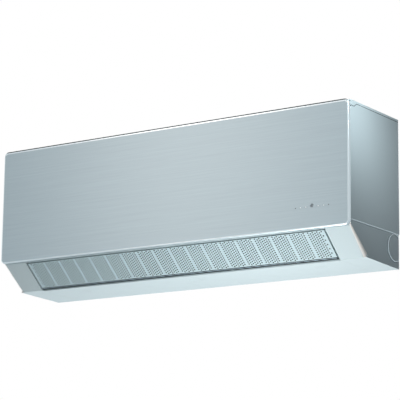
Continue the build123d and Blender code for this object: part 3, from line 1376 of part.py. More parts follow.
# Screws, as one group: bottom cover, bearing holder and casing
def screws():
    group = []
    for x in CAP_X:
        seat = underside(CAP_Y, WALL)
        group.append(rod((x, CAP_Y, seat), (0, 0, 1), 1.25, 12))
        group[-1] += rod((x, CAP_Y, seat - (WALL - CAP_T) + 0.25), (0, 0, 1), 1.8, WALL - CAP_T)
    x1 = -DUCT_HALF_W - END_WALL_T - 2.2
    for angle in (60, 180, 300):
        y = FAN_Y + (BEARING_R + 6.5) * cos(radians(angle))
        z = FAN_Z + (BEARING_R + 6.5) * sin(radians(angle))
        group.append(rod_x(y, z, 3.0, x1 - 1.8, x1) + rod_x(y, z, 1.5, x1 - 1, x1 + 2.2))
    return Compound(children=group)


save(wall_plate(), "wall_plate")
save(chassis(), "chassis")
save(front_casing(), "front_casing")
save(bottom_cover(), "bottom_cover")
save(side_cover(-1), "side_cover_left")
save(side_cover(1), "side_cover_right")
save(lid(), "top_cover")
save(front_panel(), "front_panel")
save(panel_frame(), "panel_frame")
save(indicator_lenses(), "indicator_lenses")
save(display_board(), "display_board")
save(front_grille(), "front_grille")
save(test_button(), "test_button")
save(air_filter(-1), "filter_left")
save(air_filter(1), "filter_right")
save(evaporator(COIL_FRONT, 1), "evaporator_front")
save(evaporator(COIL_UPPER, 1), "evaporator_upper")
save(evaporator(COIL_REAR, -1), "evaporator_rear")
save(end_plates(), "evaporator_end_plates")
save(return_bends(), "return_bends")
save(gas_pipe(), "gas_pipe")
save(liquid_pipe(), "liquid_pipe")
save(flare_unions(), "flare_unions")
save(pipe_clamp(), "pipe_clamp")
save(drain_pan(), "drain_pan")
save(drain_spigot(), "drain_spigot")
save(drain_plug(), "drain_plug")
save(fan_rotor(), "fan_rotor")
save(fan_stub(), "fan_shaft")
save(motor_shaft(), "motor_shaft")
save(bearing(), "fan_bearing")
save(bearing_holder(), "bearing_holder")
save(fan_motor(), "fan_motor")
save(motor_strap(), "motor_strap")
save(flap(), "louver")
save(flap_bush(), "louver_bush")
save(flap_stepper(), "louver_motor")
for name, side in (("left", -1), ("right", 1)):
    for number, x in enumerate(VANE_X, 1):
        save(vane(side * x), f"vane_{name}_{number}")
    save(link_bar(side), f"vane_link_{name}")
    save(vane_stepper(side), f"vane_motor_{name}")
save(control_box(), "control_box")
save(control_box_lid(), "control_box_lid")
save(control_board(), "control_board")
save(terminal_block(), "terminal_block")
save(air_sensor(), "air_sensor")
for number, x in enumerate(CAP_X, 1):
    save(screw_cover(x), f"screw_cover_{number}")
save(screws(), "screws")
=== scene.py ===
import json
import math

import bmesh
import bpy
from mathutils import Matrix, Vector


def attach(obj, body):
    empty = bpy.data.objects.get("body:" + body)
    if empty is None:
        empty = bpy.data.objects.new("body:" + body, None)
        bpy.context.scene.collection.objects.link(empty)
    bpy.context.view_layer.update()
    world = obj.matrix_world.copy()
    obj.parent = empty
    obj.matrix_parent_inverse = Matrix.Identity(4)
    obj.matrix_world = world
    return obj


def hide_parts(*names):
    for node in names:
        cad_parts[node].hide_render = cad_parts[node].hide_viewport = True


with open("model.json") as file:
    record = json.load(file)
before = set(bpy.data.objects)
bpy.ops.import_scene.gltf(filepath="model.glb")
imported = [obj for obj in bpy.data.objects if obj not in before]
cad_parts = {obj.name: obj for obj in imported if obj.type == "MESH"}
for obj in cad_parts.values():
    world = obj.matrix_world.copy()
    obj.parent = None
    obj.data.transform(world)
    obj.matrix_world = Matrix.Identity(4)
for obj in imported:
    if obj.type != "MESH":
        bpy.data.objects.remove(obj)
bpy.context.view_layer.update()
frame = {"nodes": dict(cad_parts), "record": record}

# The body that stays on the wall
ROOT = "housing"

# Front panel, in metres
PANEL_HALF_W = 0.425
PANEL_LOW_Z = -0.093
PANEL_HIGH_Z = 0.150
PANEL_CORNER = 0.010
# The rim band is a painted highlight on the panel's rounded edge; the top-edge band is painted shade.
RIM_W = 0.0027
RIM_BLUR = 0.0005
RIM_TOP_EXTRA = 0.0024
RIM_TOP_FADE = (PANEL_HIGH_Z - 0.009, PANEL_HIGH_Z - 0.006)
TOP_SHADE_FADE = (PANEL_HIGH_Z - 0.0029, PANEL_HIGH_Z - 0.0023)

# Indicator: its middle, and how far from it the ring ends and the end dots begin
INDICATOR_X = 0.3445
RING_EDGE = (0.0075, 0.0080)
END_DOT_EDGE = (0.0310, 0.0315)

# Chin: the slope under the panel that carries the flap, and the rounded corners at its ends
CHIN_TOP = Vector((0.0, -0.188, PANEL_LOW_Z))
CREASE = Vector((0.0, -0.130, -0.145))
CHIN_DIR = (CREASE - CHIN_TOP).normalized()
CHIN_OUT = Vector((0.0, CHIN_DIR.z, -CHIN_DIR.y))
# Limits of the painted highlight on the rounded corners at the chin's ends
CORNER_INNER = (0.4190, 0.4215)
CORNER_OUTER = (0.4231, 0.4234)
CORNER_SPREAD = 0.055
CORNER_BACK_Y = -0.1285
CORNER_BACK_BLUR = 0.0005

# Outlet flap: distances down the chin start at its top edge
FLAP_HALF_W = 0.3635
FLAP_START = 0.004
FLAP_END = 0.077
FLAP_RECESS = 0.0008
SHEET_T = 0.0003
HOLE_PITCH_X = 0.005
HOLE_PITCH_ALONG = 0.00525
HOLE_R = 0.00165
HOLE_SIDES = 10
HOLE_ROWS = 12
HOLE_COLUMNS = 143
PLAIN_EVERY = 8
FIELD_START = 0.0054
# The band between these two distances in from the plate's edge is a painted shadow round the flap.
SHADOW_EDGE_OUT = 0.0003
SHADOW_EDGE_IN = 0.0013
BAND_START = 0.0713
LIP_START = BAND_START + 0.0012
LIP_END = BAND_START + 0.0038
TRIM_RECESS = FLAP_RECESS + 0.0001
TRAY_SET_BACK = SHEET_T + 0.0004
TRAY_FACE_REACH = 0.0002
# The dark sheet behind the holes is painted shade for the cavity.
SHADE_SHEET_INSET = 0.002
SHADE_SHEET_RECESS = FLAP_RECESS + SHEET_T + 0.0003

# Side trim: seam paths as (y, z), and the pipe knock-out
SIDE_X = 0.4235
TRIM_SUNK = 0.0002
LID_SEAM = [(-0.1865, 0.1388), (-0.1735, 0.1388), (-0.1690, 0.1418), (-0.1650, 0.1450), (-0.0005, 0.1450)]
LID_SEAM_W = 0.0011
LID_SEAM_PROUD = 0.0001
SEAM_Z = -0.0818
SIDE_SEAM = [(-0.1875, SEAM_Z), (-0.1000, SEAM_Z), (-0.0030, SEAM_Z)]
SIDE_SEAM_W = 0.0009
SIDE_SEAM_PROUD = 0.0010
KNOCKOUT_Y = -0.020
KNOCKOUT_Z = -0.110
KNOCKOUT_R = 0.0269
BEAD_R = 0.0006
BEAD_PROUD = 0.0009
BEAD_ARC = (math.radians(52), math.radians(308))
BEAD_STEPS = 56
BEAD_SIDES = 8

# Evaporator: each slab's two ends as (y, z)
COILS = {
    "evaporator_front": ((-0.163, -0.042), (-0.163, 0.044)),
    "evaporator_upper": ((-0.160, 0.052), (-0.113, 0.111)),
    "evaporator_rear": ((-0.0375, 0.025), (-0.0905, 0.1085)),
}
COIL_T = 0.024
COIL_HALF_L = 0.350
FIN_PITCH = 0.0016
FIN_T = 0.00030
FIN_STEPS = 6
FIN_WAVE = 0.00022

# Air filters: an upright leg in front, and a bed on top
FILTER_NEAR_X = 0.004
FILTER_FAR_X = 0.354
FILTER_FRONT_Y = -0.1844
FILTER_BACK_Y = -0.024
FILTER_BOTTOM_Z = -0.036
FILTER_BED_Z = 0.14202
FILTER_T = 0.0026
FILTER_BORDER = 0.008
FILTER_RIB = 0.003
FILTER_PARTS = 4
FILTER_CROSS_Z = 0.050
FILTER_CROSS_Y = -0.105
GRIP_HALF_W = 0.022
GRIP_LOW_Z = FILTER_BED_Z + 0.001
GRIP_HIGH_Z = 0.149
NET_PITCH = 0.0014
NET_WIRE = 0.00032
NET_SIDE_INSET = 0.004
NET_LEG = (FILTER_BOTTOM_Z + 0.003, FILTER_BED_Z)
NET_LEG_Y = FILTER_FRONT_Y + FILTER_T * 0.6
NET_BED = (FILTER_FRONT_Y + FILTER_T + 0.001, FILTER_BACK_Y - 0.003)
NET_BED_Z = FILTER_BED_Z + FILTER_T * 0.4

# Camera and studio
CAMERA_PLACE = (2.0721, -3.0586, -0.7462)
CAMERA_YAW = 0.6066
CAMERA_PITCH = 0.2083
CAMERA_ROLL = 0.0122
LENS_MM = 162.4
SENSOR_MM = 36.0
CAMERA_REACH = 200.0
FLOOR_HALF = 60.0
FLOOR_Z = -2.2
FLOOR_GLOW = 0.80
FILL_LEFT = 0.20
FILL_RIGHT = 0.02
FILL_FADE = (-0.1, 0.8)

# Colours as linear values
ALUMINIUM = (0.275, 0.35, 0.39, 1)
# Painted highlight, on the panel's rim, the side seams and the knock-out beads
HIGHLIGHT_SILVER = (0.52, 0.61, 0.65, 1)
CASING = (0.56, 0.66, 0.70, 1)
# Painted highlight on the chin's rounded corners
CORNER_HIGHLIGHT = (0.97, 0.94, 0.92, 1)
LID_PAINT = (0.58, 0.69, 0.73, 1)
FLAP_PAINT = (0.52, 0.66, 0.71, 1)
# Painted shade on the flap's lower lip
LIP_SHADE_BLUE = (0.155, 0.215, 0.250, 1)
# Painted shade for the cavity behind the holes and the shadow round the flap
CAVITY_SHADE = (0.006, 0.009, 0.011, 1)
# Painted shadow in the lid's seam
GAP_SHADOW_GREY = (0.10, 0.13, 0.15, 1)
DARK = (0.030, 0.042, 0.050, 1)
BACKING = (0.045, 0.052, 0.058, 1)
WHITE_PLASTIC = (0.66, 0.68, 0.67, 1)
FILTER_GREY = (0.50, 0.54, 0.56, 1)
FRAME_GREY = (0.62, 0.66, 0.68, 1)
FIN = (0.86, 0.88, 0.90, 1)
COPPER = (0.72, 0.36, 0.22, 1)
BRASS = (0.62, 0.45, 0.20, 1)
ZINC = (0.50, 0.53, 0.55, 1)
RESIN = (0.16, 0.165, 0.17, 1)
RUBBER = (0.022, 0.022, 0.023, 1)
BOARD_GREEN = (0.03, 0.13, 0.06, 1)
LENS = (0.80, 0.86, 0.88, 1)
LENS_DARK = (0.020, 0.030, 0.034, 1)
LENS_RING = (0.21, 0.26, 0.29, 1)
WHITE = (1, 1, 1, 1)
FILL_BLUE = (0.80, 0.92, 1.0, 1)
FLOOR_WHITE = (0.86, 0.87, 0.88, 1)
FLOOR_LIGHT = (0.97, 0.985, 1.0, 1)


# Shader nodes: each helper adds to a tree and gives the new output
NOISE_ROUGHNESS = 0.55


def math_node(tree, operation, *values):
    """Arithmetic on sockets and plain numbers."""
    node = tree.nodes.new("ShaderNodeMath")
    node.operation = operation
    for socket, value in zip(node.inputs, values):
        if isinstance(value, (int, float)):
            socket.default_value = value
        else:
            tree.links.new(value, socket)
    return node.outputs[0]


def plus(tree, first, second):
    return math_node(tree, "ADD", first, second)


def minus(tree, first, second):
    return math_node(tree, "SUBTRACT", first, second)


def times(tree, first, second):
    return math_node(tree, "MULTIPLY", first, second)


def larger(tree, first, second):
    return math_node(tree, "MAXIMUM", first, second)


def smaller(tree, first, second):
    return math_node(tree, "MINIMUM", first, second)


def unsigned(tree, value):
    return math_node(tree, "ABSOLUTE", value)


def step_node(tree, value, edge):
    """0 before the edge, 1 past it, and a smooth rise between its two limits."""
    step = tree.nodes.new("ShaderNodeMapRange")
    step.interpolation_type = "SMOOTHSTEP"
    step.inputs["From Min"].default_value = edge[0]
    step.inputs["From Max"].default_value = edge[1]
    tree.links.new(value, step.inputs["Value"])
    return step.outputs["Result"]


def noise_node(tree, scales, detail):
    """Noise on object coordinates, stretched by a scale for each axis."""
    place = tree.nodes.new("ShaderNodeTexCoord")
    stretch = tree.nodes.new("ShaderNodeMapping")
    stretch.inputs["Scale"].default_value = scales
    noise = tree.nodes.new("ShaderNodeTexNoise")
    noise.inputs["Scale"].default_value = 1.0
    noise.inputs["Detail"].default_value = detail
    noise.inputs["Roughness"].default_value = NOISE_ROUGHNESS
    tree.links.new(place.outputs["Object"], stretch.inputs["Vector"])
    tree.links.new(stretch.outputs["Vector"], noise.inputs["Vector"])
    return noise.outputs["Fac"]


def object_axes(tree):
    """The place on the unit, as separate X, Y and Z."""
    place = tree.nodes.new("ShaderNodeTexCoord")
    axes = tree.nodes.new("ShaderNodeSeparateXYZ")
    tree.links.new(place.outputs["Object"], axes.inputs["Vector"])
    return axes.outputs["X"], axes.outputs["Y"], axes.outputs["Z"]


def shaded(tree, colour, swing):
    """A colour made lighter or darker by a swing about 0."""
    tint = tree.nodes.new("ShaderNodeVectorMath")
    tint.operation = "SCALE"
    tree.links.new(colour, tint.inputs[0])
    tree.links.new(plus(tree, swing, 1.0), tint.inputs["Scale"])
    return tint.outputs["Vector"]


def group_node(tree, group, values):
    """A shared group, placed in a material with its own values."""
    node = tree.nodes.new("ShaderNodeGroup")
    node.node_tree = group
    for label, value in values.items():
        node.inputs[label].default_value = value
    return node


def direct_rays(tree):
    """1 for rays from the camera, in reflections and through clear parts."""
    path = tree.nodes.new("ShaderNodeLightPath")
    either = larger(tree, path.outputs["Is Camera Ray"], path.outputs["Is Glossy Ray"])
    return larger(tree, either, path.outputs["Is Transmission Ray"])


# Shader node groups, shared by several finishes
SURFACE = {"Colour": "NodeSocketColor", "Roughness": "NodeSocketFloat", "Height": "NodeSocketFloat"}


def new_group(name, inputs, outputs):
    """An empty shader group; each input has its name and its own number or colour."""
    group = bpy.data.node_groups.new(name, "ShaderNodeTree")
    for label, value in inputs.items():
        kind = "NodeSocketFloat" if isinstance(value, float) else "NodeSocketColor"
        group.interface.new_socket(label, in_out="INPUT", socket_type=kind).default_value = value
    for label, kind in outputs.items():
        group.interface.new_socket(label, in_out="OUTPUT", socket_type=kind)
    start = group.nodes.new("NodeGroupInput")
    end = group.nodes.new("NodeGroupOutput")
    return group, start.outputs, end.inputs


def put_out(group, end, values):
    """Links each value to the group's output of that name."""
    for label, value in values.items():
        group.links.new(value, end[label])


def build_brushing():
    """Fine streaks along X: a colour, a roughness and a height."""
    roughness_share = 0.35
    group, start, end = new_group(
        "brushed_streaks", {"Colour": (0.5, 0.5, 0.5, 1), "Streaks": 0.2, "Roughness": 0.35}, SURFACE
    )
    coarse = noise_node(group, (4.0, 60.0, 420.0), detail=4.0)
    fine = noise_node(group, (14.0, 300.0, 1500.0), detail=3.0)
    both = plus(group, coarse, fine)
    swing = times(group, minus(group, both, 1.0), start["Streaks"])
    put_out(group, end, {
        "Colour": shaded(group, start["Colour"], swing),
        "Roughness": plus(group, start["Roughness"], times(group, swing, roughness_share)),
        "Height": both,
    })
    return group


def build_grain():
    """Fine moulded or sprayed grain with a slow drift of tone."""
    group, start, end = new_group(
        "moulded_grain",
        {"Colour": (0.5, 0.5, 0.5, 1), "Roughness": 0.45, "Grain": 0.05, "Drift": 0.06, "Grain Size": 900.0},
        SURFACE,
    )
    place = group.nodes.new("ShaderNodeTexCoord")
    grain = group.nodes.new("ShaderNodeTexNoise")
    grain.inputs["Detail"].default_value = 2.0
    group.links.new(place.outputs["Object"], grain.inputs["Vector"])
    group.links.new(start["Grain Size"], grain.inputs["Scale"])
    drift = noise_node(group, (4.0, 5.0, 6.0), detail=2.0)
    grain_part = times(group, minus(group, grain.outputs["Fac"], 0.5), start["Grain"])
    drift_part = times(group, minus(group, drift, 0.5), start["Drift"])
    swing = plus(group, grain_part, drift_part)
    put_out(group, end, {
        "Colour": shaded(group, start["Colour"], swing),
        "Roughness": plus(group, start["Roughness"], swing),
        "Height": grain.outputs["Fac"],
    })
    return group


def build_slant_streaks():
    """Streaks that lean along the flap's lower lip, as ribs seen through it."""
    slant = 5.0
    turns_per_metre = 330.0
    depth = 0.9
    roughness_share = 0.1
    group, start, end = new_group(
        "slant_streaks", {"Colour": (0.2, 0.25, 0.3, 1), "Roughness": 0.3}, SURFACE
    )
    x, _, z = object_axes(group)
    lean = plus(group, x, times(group, z, slant))
    wave = math_node(group, "SINE", times(group, lean, turns_per_metre))
    noise = noise_node(group, (60.0, 30.0, 90.0), detail=2.0)
    put_out(group, end, {
        "Colour": shaded(group, start["Colour"], times(group, wave, times(group, noise, depth))),
        "Roughness": plus(group, start["Roughness"], times(group, noise, roughness_share)),
        "Height": wave,
    })
    return group


def build_panel_rim():
    """Painted highlight on the panel's rounded rim, and painted shade along its top edge."""
    group, start, end = new_group(
        "panel_rim_highlight_and_shade", {"Rim": 0.003}, {"Mask": "NodeSocketFloat", "Top": "NodeSocketFloat"}
    )
    x, _, z = object_axes(group)
    middle_z = (PANEL_LOW_Z + PANEL_HIGH_Z) / 2
    half_h = (PANEL_HIGH_Z - PANEL_LOW_Z) / 2
    dx = minus(group, unsigned(group, x), PANEL_HALF_W - PANEL_CORNER)
    dz = minus(group, unsigned(group, minus(group, z, middle_z)), half_h - PANEL_CORNER)
    out_x = larger(group, dx, 0.0)
    out_z = larger(group, dz, 0.0)
    round_part = math_node(group, "SQRT", plus(group, times(group, out_x, out_x), times(group, out_z, out_z)))
    flat_part = smaller(group, larger(group, dx, dz), 0.0)
    reach = minus(group, plus(group, round_part, flat_part), PANEL_CORNER)
    rim = plus(group, start["Rim"], times(group, step_node(group, z, RIM_TOP_FADE), RIM_TOP_EXTRA))
    put_out(group, end, {
        "Mask": step_node(group, plus(group, reach, rim), (-RIM_BLUR, RIM_BLUR)),
        "Top": step_node(group, z, TOP_SHADE_FADE),
    })
    return group


def build_chin_corner():
    """A painted highlight over the rounded corners at the two ends of the chin."""
    group, _, end = new_group("chin_corner_highlight", {}, {"Mask": "NodeSocketFloat"})
    x, y, z = object_axes(group)
    across = unsigned(group, x)
    widened = plus(group, across, times(group, minus(group, PANEL_LOW_Z, z), CORNER_SPREAD))
    rise = step_node(group, widened, CORNER_INNER)
    fall = step_node(group, across, CORNER_OUTER)
    band = minus(group, rise, times(group, rise, fall))
    front = step_node(group, minus(group, CORNER_BACK_Y, y), (0.0, CORNER_BACK_BLUR))
    put_out(group, end, {"Mask": times(group, band, front)})
    return group


def build_indicator_zones():
    """Which lens of the indicator a place is on: the ring in the middle, or one of the end dots."""
    group, _, end = new_group("indicator_zones", {}, {"Ring": "NodeSocketFloat", "End": "NodeSocketFloat"})
    x, _, _ = object_axes(group)
    away = unsigned(group, minus(group, x, INDICATOR_X))
    put_out(group, end, {
        "Ring": minus(group, 1.0, step_node(group, away, RING_EDGE)),
        "End": step_node(group, away, END_DOT_EDGE),
    })
    return group


BRUSHING = build_brushing()
GRAIN = build_grain()
SLANT_STREAKS = build_slant_streaks()
PANEL_RIM_LIGHT_AND_SHADE = build_panel_rim()
CHIN_CORNER_HIGHLIGHT = build_chin_corner()
INDICATOR_ZONES = build_indicator_zones()


# Finishes
def finish_from(name, group, values, metallic=0.0, bump=0.05, bump_depth=0.0002, specular=0.5):
    """A material whose colour, roughness and height come from one of the groups."""
    material = bpy.data.materials.new(name)
    material.use_nodes = True
    tree = material.node_tree
    shader = tree.nodes["Principled BSDF"]
    shader.inputs["Metallic"].default_value = metallic
    shader.inputs["Specular IOR Level"].default_value = specular
    source = group_node(tree, group, values)
    relief = tree.nodes.new("ShaderNodeBump")
    relief.inputs["Strength"].default_value = bump
    relief.inputs["Distance"].default_value = bump_depth
    tree.links.new(source.outputs["Colour"], shader.inputs["Base Color"])
    tree.links.new(source.outputs["Roughness"], shader.inputs["Roughness"])
    tree.links.new(source.outputs["Height"], relief.inputs["Height"])
    tree.links.new(relief.outputs["Normal"], shader.inputs["Normal"])
    return material


def grained(name, colour, roughness, grain=0.05, drift=0.05, size=900.0, **more):
    """Moulded, cast or painted: grain and drift are swings of tone, and size is the grain's scale."""
    values = {"Colour": colour, "Roughness": roughness, "Grain": grain, "Drift": drift, "Grain Size": size}
    return finish_from(name, GRAIN, values, **more)


def brushed(name, colour, roughness, streaks, **more):
    """Bare metal with fine streaks along X."""
    values = {"Colour": colour, "Roughness": roughness, "Streaks": streaks}
    return finish_from(name, BRUSHING, values, metallic=1.0, **more)


# A Mix node's sockets share their names, so they are picked by place: under, over, result
MIX_COLOURS = ("RGBA", 6, 7, 2)
MIX_NUMBERS = ("FLOAT", 2, 3, 0)


def repaint(material, zone, colour, roughness):
    """A second colour and roughness over a finish, where the zone's mask is 1."""
    tree = material.node_tree
    shader = tree.nodes["Principled BSDF"]
    for label, kind, over in (("Base Color", MIX_COLOURS, colour), ("Roughness", MIX_NUMBERS, roughness)):
        data_type, under_place, over_place, result_place = kind
        mix = tree.nodes.new("ShaderNodeMix")
        mix.data_type = data_type
        mix.inputs[over_place].default_value = over
        tree.links.new(zone, mix.inputs[0])
        tree.links.new(shader.inputs[label].links[0].from_socket, mix.inputs[under_place])
        tree.links.new(mix.outputs[result_place], shader.inputs[label])


def panel_finish():
    """Brushed aluminium with a painted highlight on its rounded rim and painted shade along its top edge."""
    material = brushed("brushed_aluminium", ALUMINIUM, roughness=0.42, streaks=0.17, bump=0.08)
    zones = group_node(material.node_tree, PANEL_RIM_LIGHT_AND_SHADE, {"Rim": RIM_W})
    repaint(material, zones.outputs["Mask"], HIGHLIGHT_SILVER, roughness=0.30)
    repaint(material, zones.outputs["Top"], DARK, roughness=0.6)
    return material


def casing_finish():
    """Silver paint with a painted highlight over the rounded corners of the chin."""
    material = grained(
        "silver_paint", CASING, roughness=0.42, grain=0.12, drift=0.03, size=1400.0, bump=0.08, specular=0.14
    )
    zones = group_node(material.node_tree, CHIN_CORNER_HIGHLIGHT, {})
    repaint(material, zones.outputs["Mask"], CORNER_HIGHLIGHT, roughness=0.3)
    return material


def lens_finish():
    """Milky lenses, a grey ring and dark end dots."""
    material = grained("milky_lens", LENS, roughness=0.25, grain=0.02)
    zones = group_node(material.node_tree, INDICATOR_ZONES, {})
    repaint(material, zones.outputs["Ring"], LENS_RING, roughness=0.4)
    repaint(material, zones.outputs["End"], LENS_DARK, roughness=0.3)
    return material


FINISHES = {
    "brushed_panel": panel_finish(),
    "panel_backing": grained("dark_backing", BACKING, roughness=0.5, grain=0.1),
    "silver_casing": casing_finish(),
    "silver_flap": grained(
        "silver_flap_paint", FLAP_PAINT, roughness=0.45, grain=0.06, size=1200.0, specular=0.3
    ),
    "dark_plastic": grained("dark_moulding", DARK, roughness=0.55, grain=0.12),
    "white_plastic": grained("white_moulding", WHITE_PLASTIC, roughness=0.5, grain=0.04, drift=0.06),
    "filter_mesh": grained("filter_net", FILTER_GREY, roughness=0.55),
    "fin_aluminium": brushed("fin_stock", FIN, roughness=0.30, streaks=0.12),
    "copper": grained(
        "drawn_copper", COPPER, roughness=0.30, grain=0.06, drift=0.25, size=160.0, metallic=1.0
    ),
    "brass": grained("turned_brass", BRASS, roughness=0.28, drift=0.12, size=400.0, metallic=1.0),
    "zinc_steel": grained(
        "zinc_sheet", ZINC, roughness=0.38, grain=0.12, drift=0.18, size=120.0, metallic=0.9
    ),
    "motor_resin": grained("cast_resin", RESIN, roughness=0.6, grain=0.15, drift=0.1, size=500.0),
    "rubber": grained("black_rubber", RUBBER, roughness=0.75, grain=0.15),
    "circuit_board": grained("solder_mask", BOARD_GREEN, roughness=0.35, grain=0.1, drift=0.1, size=300.0),
    "lens": lens_finish(),
}
LID = grained("lid_paint", LID_PAINT, roughness=0.40, grain=0.08, drift=0.03, size=1400.0, specular=0.2)
# Near-black painted shade, behind the holes and round the flap's plate
PAINTED_SHADE = grained("painted_shade", CAVITY_SHADE, roughness=0.85, specular=0.0)
# Dark blue-grey painted shade on the flap's lower lip, with leaning streaks
SHADED_LIP = finish_from(
    "lip_in_painted_shade", SLANT_STREAKS, {"Colour": LIP_SHADE_BLUE, "Roughness": 0.3}, bump=0.1, bump_depth=0.0001
)
# Bright metal as painted highlight on the side seams and knock-out beads
SEAM_HIGHLIGHT = grained("painted_seam_highlight", HIGHLIGHT_SILVER, roughness=0.25, grain=0.04, drift=0.03, metallic=1.0)
# Dark grey as painted shadow in the lid's seam
GAP_SHADOW = grained("painted_gap_shadow", GAP_SHADOW_GREY, roughness=0.6, specular=0.1)
FILTER_FRAME = grained("filter_frame_moulding", FRAME_GREY, roughness=0.5)


def dress(obj, material):
    obj.data.materials.clear()
    obj.data.materials.append(material)


def dress_solids():
    """Each CAD node takes the finish of its slot, and the lid its own paint."""
    slots = {row["node"]: row["material_slot"] for row in frame["record"]["subparts"]}
    for node, solid in frame["nodes"].items():
        dress(solid, FINISHES[slots[node]])
    dress(frame["nodes"]["top_cover"], LID)


# Meshes
def mesh_from(name, bm):
    mesh = bpy.data.meshes.new(name)
    bm.to_mesh(mesh)
    bm.free()
    return mesh


def new_object(name, mesh, material=None):
    obj = bpy.data.objects.new(name, mesh)
    bpy.context.scene.collection.objects.link(obj)
    if material:
        dress(obj, material)
    return obj


def solid_object(name, bm, material):
    """A finished object from a closed bmesh, with its faces turned outwards."""
    bmesh.ops.recalc_face_normals(bm, faces=bm.faces)
    return new_object(name, mesh_from(name, bm), material)


def box_tile(size):
    bm = bmesh.new()
    bmesh.ops.create_cube(bm, size=1.0, matrix=Matrix.Diagonal((*size, 1.0)))
    return bm


def add_box(bm, low, high):
    """A box between two corners."""
    size = Vector(high) - Vector(low)
    middle = (Vector(high) + Vector(low)) / 2
    bmesh.ops.create_cube(bm, size=1.0, matrix=Matrix.Translation(middle) @ Matrix.Diagonal((*size, 1.0)))


def skin_rings(bm, rings):
    """Faces between neighbouring rings of vertices, with both ends closed."""
    sides = len(rings[0])
    for first, second in zip(rings, rings[1:]):
        for i in range(sides):
            j = (i + 1) % sides
            bm.faces.new((first[i], first[j], second[j], second[i]))
    bm.faces.new(rings[0])
    bm.faces.new(list(reversed(rings[-1])))


# Geometry Nodes: a tree that lays one tile on every point, and its conversion to a plain mesh
def build_tiling_tree():
    """Instances of a tile on every point of the carrier mesh, made real and given a material."""
    tree = bpy.data.node_groups.new("tiles_on_points", "GeometryNodeTree")
    tree.interface.new_socket("Geometry", in_out="INPUT", socket_type="NodeSocketGeometry")
    tree.interface.new_socket("Tile", in_out="INPUT", socket_type="NodeSocketObject")
    tree.interface.new_socket("Size", in_out="INPUT", socket_type="NodeSocketFloat").default_value = 1.0
    tree.interface.new_socket("Finish", in_out="INPUT", socket_type="NodeSocketMaterial")
    tree.interface.new_socket("Geometry", in_out="OUTPUT", socket_type="NodeSocketGeometry")
    start = tree.nodes.new("NodeGroupInput")
    end = tree.nodes.new("NodeGroupOutput")
    tile = tree.nodes.new("GeometryNodeObjectInfo")
    place = tree.nodes.new("GeometryNodeInstanceOnPoints")
    real = tree.nodes.new("GeometryNodeRealizeInstances")
    paint = tree.nodes.new("GeometryNodeSetMaterial")
    tree.links.new(start.outputs["Tile"], tile.inputs["Object"])
    tree.links.new(start.outputs["Geometry"], place.inputs["Points"])
    tree.links.new(tile.outputs["Geometry"], place.inputs["Instance"])
    tree.links.new(start.outputs["Size"], place.inputs["Scale"])
    tree.links.new(place.outputs["Instances"], real.inputs["Geometry"])
    tree.links.new(real.outputs["Geometry"], paint.inputs["Geometry"])
    tree.links.new(start.outputs["Finish"], paint.inputs["Material"])
    tree.links.new(paint.outputs["Geometry"], end.inputs["Geometry"])
    return tree


TILING = build_tiling_tree()


def set_inputs(modifier, values):
    """Gives a modifier its inputs, by the identifier of each named socket."""
    for item in modifier.node_group.interface.items_tree:
        if item.item_type == "SOCKET" and item.in_out == "INPUT" and item.name in values:
            modifier[item.identifier] = values[item.name]


def laid_out(name, points, tile_bm, material, turn=Matrix.Identity(4)):
    """Copies of a tile at a list of points, as one plain mesh in place."""
    tile = new_object(name + "_tile", mesh_from(name + "_tile", tile_bm))
    carrier_mesh = bpy.data.meshes.new(name + "_points")
    carrier_mesh.from_pydata(points, [], [])
    carrier = new_object(name + "_points", carrier_mesh)
    modifier = carrier.modifiers.new("tiles", "NODES")
    modifier.node_group = TILING
    set_inputs(modifier, {"Tile": tile, "Size": 1.0, "Finish": material})
    bpy.context.view_layer.update()
    depsgraph = bpy.context.evaluated_depsgraph_get()
    mesh = bpy.data.meshes.new_from_object(carrier.evaluated_get(depsgraph))
    carrier.modifiers.remove(modifier)
    bpy.data.objects.remove(carrier)
    bpy.data.objects.remove(tile)
    mesh.name = name
    mesh.transform(turn)
    return new_object(name, mesh, material)


# Outlet flap: perforated sheet over a dark sheet of painted shade for the cavity, in a painted tray with its
# ribs, arms and pins
CHIN_TURN = Matrix(
    (
        (1, 0, 0, 0),
        (0, CHIN_DIR.y, CHIN_OUT.y, CHIN_TOP.y),
        (0, CHIN_DIR.z, CHIN_OUT.z, CHIN_TOP.z),
        (0, 0, 0, 1),
    )
)


def chin_point(x, along, depth):
    """A place on the chin: distance down it, and depth in from its face."""
    point = CHIN_TOP + CHIN_DIR * along - CHIN_OUT * depth
    return Vector((x, point.y, point.z))


def chin_strips(name, strips, depth, material):
    """Flat strips on the chin's slope, each given by its ends along X and down the slope."""
    bm = bmesh.new()
    for left, right, start, end in strips:
        corners = ((left, start), (right, start), (right, end), (left, end))
        bm.faces.new([bm.verts.new(chin_point(x, along, depth)) for x, along in corners])
    return new_object(name, mesh_from(name, bm), material)


